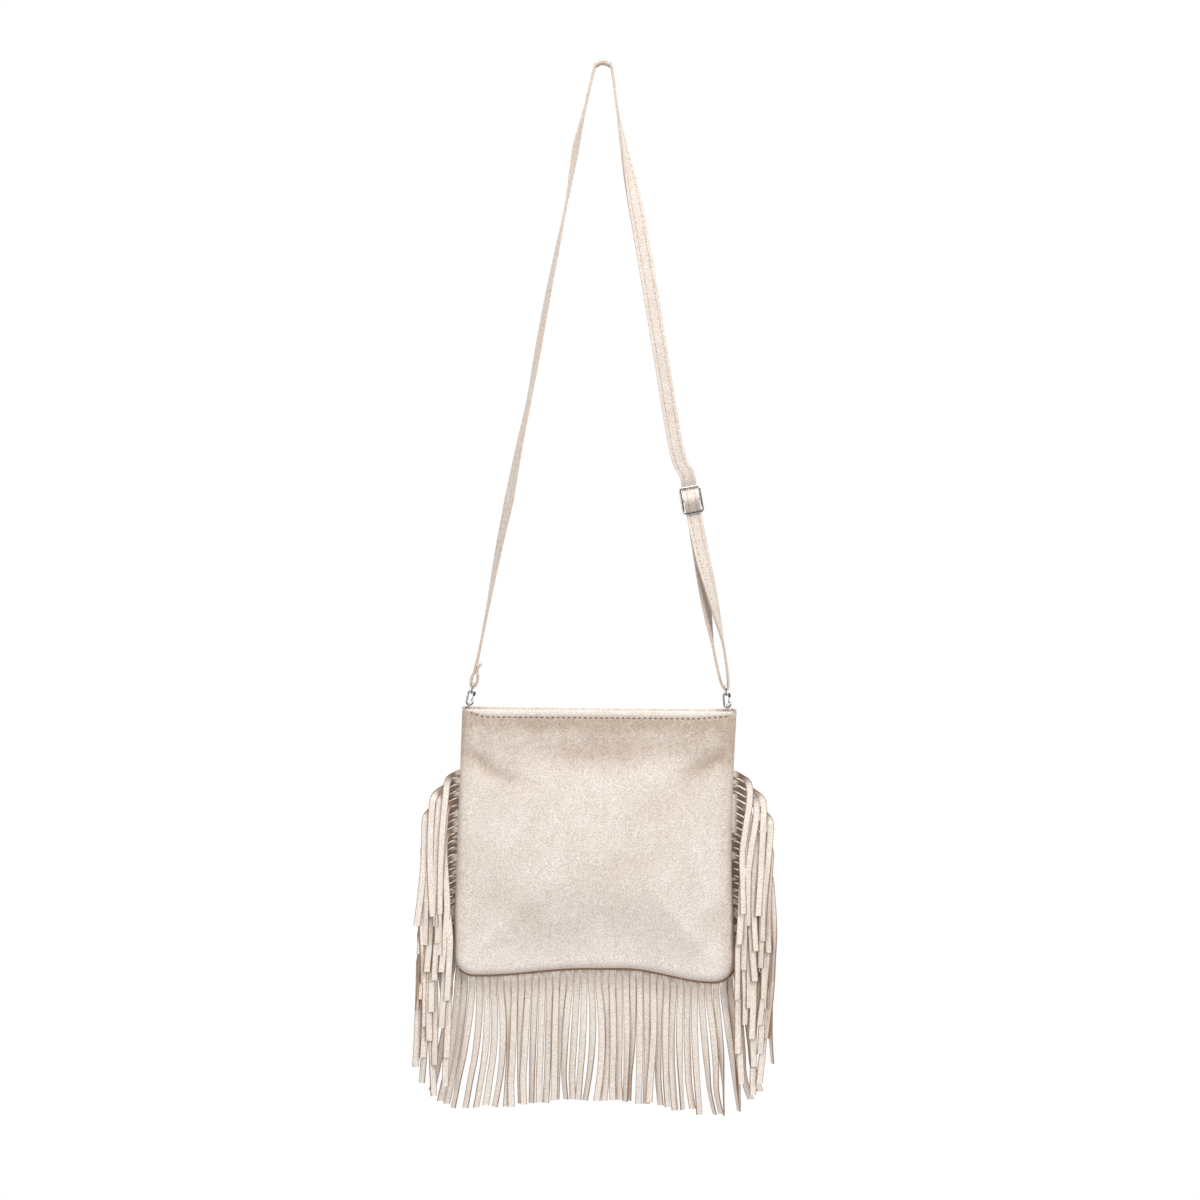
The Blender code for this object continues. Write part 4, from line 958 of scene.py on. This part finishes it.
# the pull: a bent wire loop through the arch and a flat plate with a raised middle
bm = bmesh.new()
pivot = Vector((SLIDER_X, 0, ZIP_Z + COIL_RADIUS + SLIDER_GAP + SLIDER_PLATE + 0.0003 + LOOP_WIRE))
corners = [(0, LOOP_HALF), (0, -LOOP_HALF), (-0.0045, -LOOP_HALF),
           (-LOOP_LONG, -0.0009), (-LOOP_LONG, 0.0009), (-0.0045, LOOP_HALF)]
loop = []
for number, corner_spot in enumerate(corners):
    before, after = corners[number - 1], corners[(number + 1) % len(corners)]
    for share in (0.82, 0.92):
        loop.append(pivot + Vector((*[mix(a, b, share) for a, b in zip(before, corner_spot)], 0)))
    for share in (0.08, 0.18):
        loop.append(pivot + Vector((*[mix(a, b, share) for a, b in zip(corner_spot, after)], 0)))
wire(bm, loop, LOOP_WIRE, closed=True)
pull_start = LOOP_LONG - LOOP_LAP
pull_long = PULL_LENGTH - pull_start
pull_middle = pivot - X * (pull_start + pull_long / 2)
plate(bm, pull_middle, (X, Y, Z), (pull_long, PULL_WIDTH, 0.0008), 0.0003)
plate(bm, pull_middle, (X, Y, Z), (pull_long * 0.62, PULL_WIDTH / 2, 0.0011), 0.0003)
metal_piece("zip_pull_tab", bm, "zip_pull", "zip_pull", shift=SET_BACK)

# Hem stitching
# A row of pale thread stitches, 5.4 mm apart, holds the folded mouth edge of both panels. Each
# stitch pulls into the suede, and a dark disc in each needle hole between stitches is painted shade.
STITCH_PITCH = 0.0054
STITCH_LENGTH = 0.0036
THREAD_RADIUS = 0.00032
HOLE_RADIUS = 0.00078
HOLE_LIFT = 0.00040
SEWN_START = 0.0062
SEWN_MARGIN = 0.0110

thread, shade, shader = new_material("thread")
place = shade.node("TexCoord", output="Object")
ply = shade.grain(place, 900, 2).step(0.3, 0.7)
thread_bump = shade.node("Bump", None, {"Strength": 0.4, "Distance": 0.0001, "Height": ply})
feed(shader, {"Base Color": ply.between((0.86, 0.77, 0.70, 1), (0.70, 0.60, 0.52, 1)), "Roughness": 0.6,
              "Normal": thread_bump})
# the needle holes are dark discs of painted shade
needle_hole, shade, shader = new_material("needle_hole")
place = shade.node("TexCoord", output="Object")
deep = shade.grain(place, 700, 2).step(0.3, 0.7)
feed(shader, {"Base Color": deep.between((0.17, 0.11, 0.075, 1), (0.27, 0.19, 0.14, 1)), "Roughness": 0.95})


class Stitches:
    # one short plump stitch with a needle hole at its end, a dark disc of painted shade, set down again and
    # again
    def __init__(self, length, radius, hole, lift):
        self.made = bmesh.new()
        self.one = bpy.data.meshes.new("stitch")
        part = bmesh.new()
        bmesh.ops.create_uvsphere(part, u_segments=6, v_segments=5, radius=1)
        bmesh.ops.scale(part, verts=part.verts, vec=(radius, radius, length / 2))
        hole_spot = (Matrix.Translation((0, lift, STITCH_PITCH / 2)) @ Matrix.Diagonal((1, 1, 1.7, 1))
                     @ Matrix.Rotation(math.pi / 2, 4, "X"))
        rim = bmesh.ops.create_cone(part, cap_ends=True, segments=8, radius1=hole * 0.9, radius2=hole,
                                    depth=0.0003, matrix=hole_spot)["verts"]
        for face in {face for vertex in rim for face in vertex.link_faces}:
            face.material_index = 1
        bmesh.ops.recalc_face_normals(part, faces=part.faces)
        part.to_mesh(self.one)
        part.free()

    def add(self, centre, along, out):
        aside = out.cross(along)
        turn = Matrix((aside, out, along)).transposed().to_4x4()
        copy = self.one.copy()
        copy.transform(Matrix.Translation(centre) @ turn)
        self.made.from_mesh(copy)
        bpy.data.meshes.remove(copy)

    def piece(self, name, body):
        bpy.data.meshes.remove(self.one)
        made = place_piece(name, self.made, [thread, needle_hole])
        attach(made, body)


for word, side, rise in (("front", -1, 0.0), ("back", 1, BACK_RISE)):
    stitches = Stitches(STITCH_LENGTH, THREAD_RADIUS, HOLE_RADIUS, HOLE_LIFT)
    for number in range(int((TOP_RIGHT.x - TOP_LEFT.x - SEWN_MARGIN) / STITCH_PITCH)):
        x = TOP_LEFT.x + SEWN_START + number * STITCH_PITCH
        z = top_z(x) - stitch_drop(x)
        ends = []
        for move in (-0.001, 0.001):
            low = top_z(x + move) - stitch_drop(x + move)
            ends.append(Vector((x + move, surface(side, x + move, low), low)))
        along = (ends[1] - ends[0]).normalized()
        face = side * (SUEDE_THICKNESS / 2 + 0.00005) + SET_BACK
        middle = Vector((x, surface(side, x, z) + face, z + rise))
        out = Vector((0, side, 0))
        stitches.add(middle, along, (out - along * out.dot(along)).normalized())
    stitches.piece("hem_stitches_" + word, "bag")

# Rings and tabs
# At both top corners a small nickel ring hangs in a folded suede tab that is caught in the mouth.
# The hooks of the strap go through these rings. CLASPS holds, for the left and right clasp, the
# place of its upper bar and its tilt in degrees.
BAR_RADIUS = 0.0011
RING_HALF = 0.0042
RING_CORNER = 0.0017
RING_WIRE = 0.0009
RING_GAP = 0.0004
TAB_THICKNESS = 0.0010
TAB_WIDTH = 0.0048
TAB_LEG = 0.0068
HOOK_BOTTOM = 0.0212
CLASPS = {-1: (Vector((-0.1296, 0, -0.6200)), -12.0), 1: (Vector((0.1225, 0, -0.6222)), 5.6)}


def tilt_frame(degrees):
    angle = math.radians(degrees)
    return Vector((math.sin(angle), 0, -math.cos(angle))), Vector((math.cos(angle), 0, math.sin(angle)))


def rounded_loop(half_across, half_down, radius, steps=8):
    points = []
    for corner, (sx, sy) in enumerate([(1, 1), (-1, 1), (-1, -1), (1, -1)]):
        for step in range(steps + 1):
            angle = math.radians(90 * corner + 90 * step / steps)
            points.append((sx * (half_across - radius) + radius * math.cos(angle),
                           sy * (half_down - radius) + radius * math.sin(angle)))
    return points


def ribbon(name, stations, width, thickness, materials, columns=4, bevel=0.0):
    # a flat band along pairs of a centre and a width direction, with its length on the UV map
    centres = [Vector(spot) for spot, across in stations]
    along = [0.0]
    for first, second in zip(centres, centres[1:]):
        along.append(along[-1] + (second - first).length)
    frames = []
    for number, (spot, across) in enumerate(stations):
        ahead = centres[min(number + 1, len(centres) - 1)] - centres[max(number - 1, 0)]
        frames.append((across - ahead * across.dot(ahead) / ahead.length_squared).normalized())
    shares = list(np.linspace(-0.5, 0.5, columns + 1))
    bm = grid(shares, range(len(stations)), lambda share, row: centres[row] + frames[row] * (share * width))
    bm.verts.ensure_lookup_table()
    uv = bm.loops.layers.uv.new("band")
    for face in bm.faces:
        for corner in face.loops:
            row, column = divmod(corner.vert.index, columns + 1)
            corner[uv].uv = (shares[column] + 0.5, along[row])
    piece = place_piece(name, bm, materials)
    wall(piece, thickness, 0, len(materials) - 1)
    if bevel:
        soft = piece.modifiers.new("soft_edge", "BEVEL")
        soft.width = bevel
        soft.segments = 2
        soft.limit_method = "ANGLE"
        soft.angle_limit = math.radians(60)
    return piece, along[-1]


for word, side in (("left", -1), ("right", 1)):
    bar, tilt = CLASPS[side]
    down = tilt_frame(tilt)[0]
    centre = bar + down * HOOK_BOTTOM + Z * (BAR_RADIUS + RING_WIRE + RING_GAP - RING_HALF)
    bm = bmesh.new()
    ring = [centre + Vector((0, y, z)) for y, z in rounded_loop(RING_HALF, RING_HALF, RING_CORNER)]
    wire(bm, ring, RING_WIRE, closed=True)
    metal_piece(word + "_hang_ring", bm, word + "_ring", "bag", shift=SET_BACK)
    fold = centre - Z * RING_HALF + Y * SET_BACK
    radius = RING_WIRE + RING_GAP + TAB_THICKNESS / 2
    stations = [(fold + Vector((-radius, 0, -TAB_LEG * share)), Y) for share in (1, 0.7, 0.35)]
    stations += [(fold + Vector((math.cos(a), 0, math.sin(a))) * radius, Y)
                 for a in np.linspace(math.pi, 0, 11)]
    stations += [(fold + Vector((radius, 0, -TAB_LEG * share)), Y) for share in (0.35, 0.7, 1)]
    tab = ribbon(word + "_suede_tab", stations, TAB_WIDTH, TAB_THICKNESS, [strip_suede, cut_edge])[0]
    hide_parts(word + "_tab")
    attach(tab, "bag")

# Clasps
# Each end of the strap carries a small nickel snap hook. Its eye turns in the collar of the hook,
# and a thin sprung lever on a pin closes the hook's mouth.
EYE_HEIGHT = 0.0050
EYE_CORNER = 0.0018
EYE_GAP = 0.0008
HOOK_HALF = 0.0031
HOOK_NOSE = 0.0046
COLLAR_DOWN = 0.00755
PIVOT_DOWN = 0.0102
CHEEK_SIZE = (0.0026, 0.0008, 0.0042)
LEVER_START = 0.0010
LEVER_TIP = (0.0012, 0.0168)
STRAP_WIDTH = 0.015
# outlines of turned pieces, each point a radius and a place along the axis
SHANK = ((0, 0), (0.0009, 0), (0.0009, 0.0038), (0.0013, 0.0039), (0.0015, 0.0042), (0.0015, 0.0045),
         (0.0012, 0.0048), (0, 0.0048))
COLLAR = ((0.0013, -0.0010), (0.0019, -0.0011), (0.0023, -0.0008), (0.0024, -0.0003), (0.0024, 0.0004),
          (0.0021, 0.0009), (0.0013, 0.0010), (0.0013, -0.0010))
PIN = ((0, -0.00165), (0.0006, -0.00165), (0.0006, 0.00165), (0, 0.00165))
LEVER_EYE = ((0.0008, -0.0005), (0.00125, -0.0005), (0.00125, 0.0005), (0.0008, 0.0005), (0.0008, -0.0005))

for word, side in (("left", -1), ("right", 1)):
    bar, tilt = CLASPS[side]
    down, across = tilt_frame(tilt)
    middle = bar + down * (EYE_HEIGHT / 2)
    half = STRAP_WIDTH / 2 + EYE_GAP + BAR_RADIUS
    bm = bmesh.new()
    eye = [middle + Y * a + down * d for a, d in rounded_loop(half, EYE_HEIGHT / 2, EYE_CORNER)]
    wire(bm, eye, BAR_RADIUS, closed=True)
    turned(bm, SHANK, bar + down * EYE_HEIGHT, down)
    metal_piece(word + "_clasp_eye", bm, word + "_eye", "strap")

    # the hook runs from its neck down one side, round the bottom and up to its nose
    bend = HOOK_BOTTOM - HOOK_HALF
    plan = [(-0.0019, 0.0075), (-0.0029, 0.0088), (-HOOK_HALF, 0.0104), (-HOOK_HALF, 0.0145),
            (-HOOK_HALF, bend)]
    plan += [(-HOOK_HALF * math.cos(a), bend + HOOK_HALF * math.sin(a))
             for a in np.linspace(0.2, math.pi, 15)]
    plan.append((HOOK_HALF, HOOK_BOTTOM - HOOK_NOSE))
    bm = bmesh.new()
    wire(bm, [bar + across * a + down * d for a, d in plan], BAR_RADIUS)
    nose = bar + across * HOOK_HALF + down * (HOOK_BOTTOM - HOOK_NOSE)
    bmesh.ops.create_uvsphere(bm, u_segments=14, v_segments=8, radius=BAR_RADIUS * 0.995,
                              matrix=Matrix.Translation(nose))
    turned(bm, COLLAR, bar + down * COLLAR_DOWN, down)
    for sign in (-1, 1):
        cheek = bar + across * 0.0029 + down * 0.0093 + Y * sign * 0.00125
        plate(bm, cheek, (across, Y, down), CHEEK_SIZE, 0.0003)
    pivot = bar + across * HOOK_HALF + down * PIVOT_DOWN
    turned(bm, PIN, pivot, Y, 14)
    metal_piece(word + "_snap_hook", bm, word + "_hook", word + "_hook")

    # the lever closes the hook from its pin to just inside the nose
    tip = bar + across * LEVER_TIP[0] + down * LEVER_TIP[1]
    ahead = (tip - pivot).normalized()
    length = (tip - pivot).length - 0.0006
    bm = bmesh.new()
    turned(bm, LEVER_EYE, pivot, Y, 20)
    arm = pivot + ahead * (LEVER_START + length / 2)
    plate(bm, arm, (ahead.cross(Y), Y, ahead), (0.0009, 0.0008, length), 0.0002)
    metal_piece(word + "_snap_lever", bm, word + "_trigger", word + "_trigger")

# Slide
# A rectangular nickel slide with a middle bar sets the strap's length. The strap's end is sewn
# round the middle bar, and the free run passes over both end bars.
SLIDE_CENTRE = Vector((0.0885, 0, -0.4360))
SLIDE_WIRE = 0.00125
SLIDE_HALF_WIDTH = 0.00975
SLIDE_HALF_HEIGHT = 0.01275
SLIDE_CORNER = 0.003
reach = CLASPS[1][0] - SLIDE_CENTRE
slide_down, slide_across = tilt_frame(math.degrees(math.atan2(reach.x, -reach.z)))
bm = bmesh.new()
rim = [SLIDE_CENTRE + slide_across * a + slide_down * d
       for a, d in rounded_loop(SLIDE_HALF_WIDTH, SLIDE_HALF_HEIGHT, SLIDE_CORNER)]
wire(bm, rim, SLIDE_WIRE, closed=True)
wire(bm, [SLIDE_CENTRE + slide_across * (SLIDE_HALF_WIDTH * share) for share in (-1, 1)], SLIDE_WIRE * 0.98)
metal_piece("slide_frame", bm, "strap_slide", "strap")

# Strap
# The strap is 15 mm wide, two layers of suede sewn together along both edges, and it hangs doubled
# over its holder. One end is sewn round the left clasp, the other round the slide's middle bar.
STRAP_THICKNESS = 0.0022
ROW_OFFSET = 0.0040
BAR_GAP = 0.0004
LAYER_GAP = 0.0003
HOLDER_BEND = 0.0095
HALF_TURN = [math.radians(degrees) for degrees in (0, 36, 72, 108, 144, 180)]
# the doubled run from the slide to the right clasp and back: how far below the slide's middle, how
# far in front of it, the turn of the band in degrees, and the number of parts up to the next place
BACK_RUN = ((0.026, -0.0040, 0, 8), (0.060, -0.0036, 18, 10),
            (0.105, -0.0048, 55, 10), (0.145, -0.0052, 86, 8))
FRONT_RUN = ((0.145, 0.0052, 86, 10), (0.105, 0.0040, 55, 10), (0.060, 0.0020, 18, 8), (0.026, 0.0, 0, 4))
# up the right side and down the left side: x, z, turn in degrees and parts
RIGHT_RUN = ((0.0735, -0.386, 0, 10), (0.0570, -0.286, 4, 10), (0.0405, -0.186, 8, 8),
             (0.0315, -0.136, 22, 8), (0.0215, -0.086, 66, 6), (0.0145, -0.046, 88, 5))
LEFT_RUN = ((-0.0185, -0.046, 90, 5), (-0.0275, -0.086, 72, 6), (-0.0360, -0.136, 90, 6),
            (-0.0460, -0.186, 101, 6), (-0.0560, -0.236, 106, 6), (-0.0650, -0.286, 108, 6),
            (-0.0740, -0.336, 102, 6), (-0.0845, -0.386, 110, 6), (-0.0940, -0.436, 122, 6),
            (-0.1045, -0.486, 110, 6), (-0.1145, -0.540, 97, 5))
# the end at the left clasp, down to its bar and back up: how far along the clasp and across it
LEFT_DOWN = ((-0.030, -0.0010), (-0.0185, -0.0015), (-0.0125, -0.0015), (-0.006, -0.0030))
LEFT_BACK = ((-0.006, 0.0032), (-0.0125, 0.0012), (-0.0165, 0.0013), (-0.0208, 0.0030))


def strap_plan():
    # places of the band's middle with its width direction and the number of parts up to the next one
    bar_turn = BAR_RADIUS + BAR_GAP + STRAP_THICKNESS / 2
    slide_turn = SLIDE_WIRE + BAR_GAP + STRAP_THICKNESS / 2
    length = reach.length
    lower = SLIDE_HALF_HEIGHT
    behind = -slide_turn
    over = slide_turn + STRAP_THICKNESS + LAYER_GAP * 3
    second = behind - STRAP_THICKNESS - LAYER_GAP * 2
    plan = []

    def add(down, out, degrees, parts):
        angle = math.radians(degrees)
        normal = Vector((0, -math.cos(angle), 0)) + slide_across * math.sin(angle)
        width = slide_across * math.cos(angle) + Vector((0, math.sin(angle), 0))
        plan.append((SLIDE_CENTRE + slide_down * down + normal * out, width, parts))

    def hang(run, slope):
        for x, z, degrees, parts in run:
            angle = math.radians(degrees)
            width = Vector((math.cos(angle), math.sin(angle), slope * math.cos(angle)))
            plan.append((Vector((x, 0, z)), width, parts))

    # sewn end round the middle bar, then the back run down to the right clasp
    add(0.0044, -0.0002, 0, 2)
    add(0.0024, slide_turn * 0.68, 0, 2)
    for degrees in (0, 45, 90, 135, 180):
        turn = math.radians(degrees)
        add(-slide_turn * math.sin(turn), slide_turn * math.cos(turn), 0, 3)
    add(0.0055, -0.0042, 0, 3)
    add(lower, second, 0, 4)
    for place in BACK_RUN:
        add(*place)
    add(length - 0.010, -0.0042, 90, 3)
    for turn in HALF_TURN:
        add(length + bar_turn * math.sin(turn), -bar_turn * math.cos(turn), 90, 2)
    # front run back up and through the slide
    add(length - 0.010, 0.0042, 90, 8)
    for place in FRONT_RUN:
        add(*place)
    weave = [(lower, behind), (lower + behind / 2, behind * 0.866), (0.0050, 0.0032),
             (0.0025, over - 0.0007)]
    add(lower + 0.0016, behind, 0, 3)
    for down, out in weave + [(0, over)] + [(-down, out) for down, out in reversed(weave)]:
        add(down, out, 0, 3)
    add(-lower - 0.0016, behind, 0, 4)
    add(-0.026, 0.0, 0, 6)
    # right side up to the holder, over it, and down the left side
    hang(RIGHT_RUN, 0.15)
    for degrees in (15, 52, 90, 128, 165):
        turn = math.radians(degrees)
        height = STRAP_THICKNESS / 2 - HOLDER_BEND * (1 - math.sin(turn))
        plan.append((Vector((HOLDER_BEND * math.cos(turn), 0, height)), Y, 5))
    hang(LEFT_RUN, -0.2)
    # round the bar of the left clasp, and sewn back on itself
    bar, tilt = CLASPS[-1]
    down, across = tilt_frame(tilt)
    plan.extend((bar + down * drop + across * out, Y, 6) for drop, out in LEFT_DOWN)
    for turn in HALF_TURN:
        plan.append((bar + down * (bar_turn * math.sin(turn)) - across * (bar_turn * math.cos(turn)), Y, 3))
    plan.extend((bar + down * drop + across * out, Y, 6) for drop, out in LEFT_BACK)
    return plan


def strap_route(plan):
    # a soft run through the places of the plan
    route = []
    last = len(plan) - 1
    for number in range(last):
        a, b, c, d = [plan[min(max(number + k, 0), last)] for k in (-1, 0, 1, 2)]
        for step in range(b[2]):
            t = step / b[2]
            spot = (b[0] * 2 + (c[0] - a[0]) * t + (a[0] * 2 - b[0] * 5 + c[0] * 4 - d[0]) * t * t
                    + (b[0] * 3 - a[0] - c[0] * 3 + d[0]) * t ** 3) / 2
            route.append((spot, b[1].lerp(c[1], t).normalized()))
    route.append(plan[-1][:2])
    return route


strap_edge = suede("strap_edge", (0.740, 0.620, 0.530, 1), (0.560, 0.430, 0.340, 1), fuzz=0.1)


def strap_suede():
    # the suede of the panels, pressed into a groove along both rows of stitches, with painted shade in the
    # groove
    made = suede("strap_suede", (0.850, 0.776, 0.720, 1), (0.660, 0.565, 0.495, 1))
    shade = Shade(made.node_tree)
    shader = made.node_tree.nodes["Principled BSDF"]
    across = shade.node("SeparateXYZ", None, {0: shade.node("UVMap", {"uv_map": "band"})})
    row = shade.maths("ABSOLUTE", across - 0.5, 0)
    off = shade.maths("ABSOLUTE", row - ROW_OFFSET / STRAP_WIDTH, 0)
    groove = 1 - off.step(0.012, 0.050)
    plain = Shade(made.node_tree, shader.inputs["Base Color"].links[0].from_socket)
    nap_bump_and_painted_shade = Shade(made.node_tree, shader.inputs["Normal"].links[0].from_socket)
    pressed = shade.node("Bump", {"invert": True}, {"Strength": 0.8, "Distance": 0.0004, "Height": groove,
                                                    "Normal": nap_bump_and_painted_shade})
    # the groove's darker colour is painted shade
    feed(shader, {"Base Color": (groove * 0.35).between(plain, (0.62, 0.50, 0.42, 1)), "Normal": pressed})
    return made


route = strap_route(strap_plan())
strap, strap_long = ribbon("suede_strap", route, STRAP_WIDTH, STRAP_THICKNESS,
                           [strap_suede(), strap_edge], columns=6, bevel=0.0005)
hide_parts("strap")
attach(strap, "strap")

# Strap stitching
# Two rows of pale thread run the whole length of the strap, 3.5 mm in from each edge, and show on
# both faces. The stitches are about 6.5 mm apart.
STRAP_PITCH = 0.0065
STRAP_STITCH = 0.0046
STRAP_THREAD = 0.00030
STRAP_HOLE = 0.00031
STRAP_HOLE_LIFT = -0.00002
# each strap stitch ends in a dark disc of painted shade in its needle hole
stitches = Stitches(STRAP_STITCH, STRAP_THREAD, STRAP_HOLE, STRAP_HOLE_LIFT)
travelled, mark = 0.0, STRAP_PITCH
for (spot, across), (following, next_across) in zip(route, route[1:]):
    span = (following - spot).length
    while travelled + span > mark:
        t = (mark - travelled) / span
        ahead = (following - spot).normalized()
        middle = spot.lerp(following, t)
        wide = across.lerp(next_across, t)
        wide = (wide - ahead * wide.dot(ahead)).normalized()
        out = wide.cross(ahead)
        for row in (-1, 1):
            for face in (-1, 1):
                lift = face * (STRAP_THICKNESS / 2 - 0.00003)
                stitches.add(middle + wide * (row * ROW_OFFSET) + out * lift, ahead, out * face)
        mark += STRAP_PITCH
    travelled += span
stitches.piece("strap_stitches", "strap")
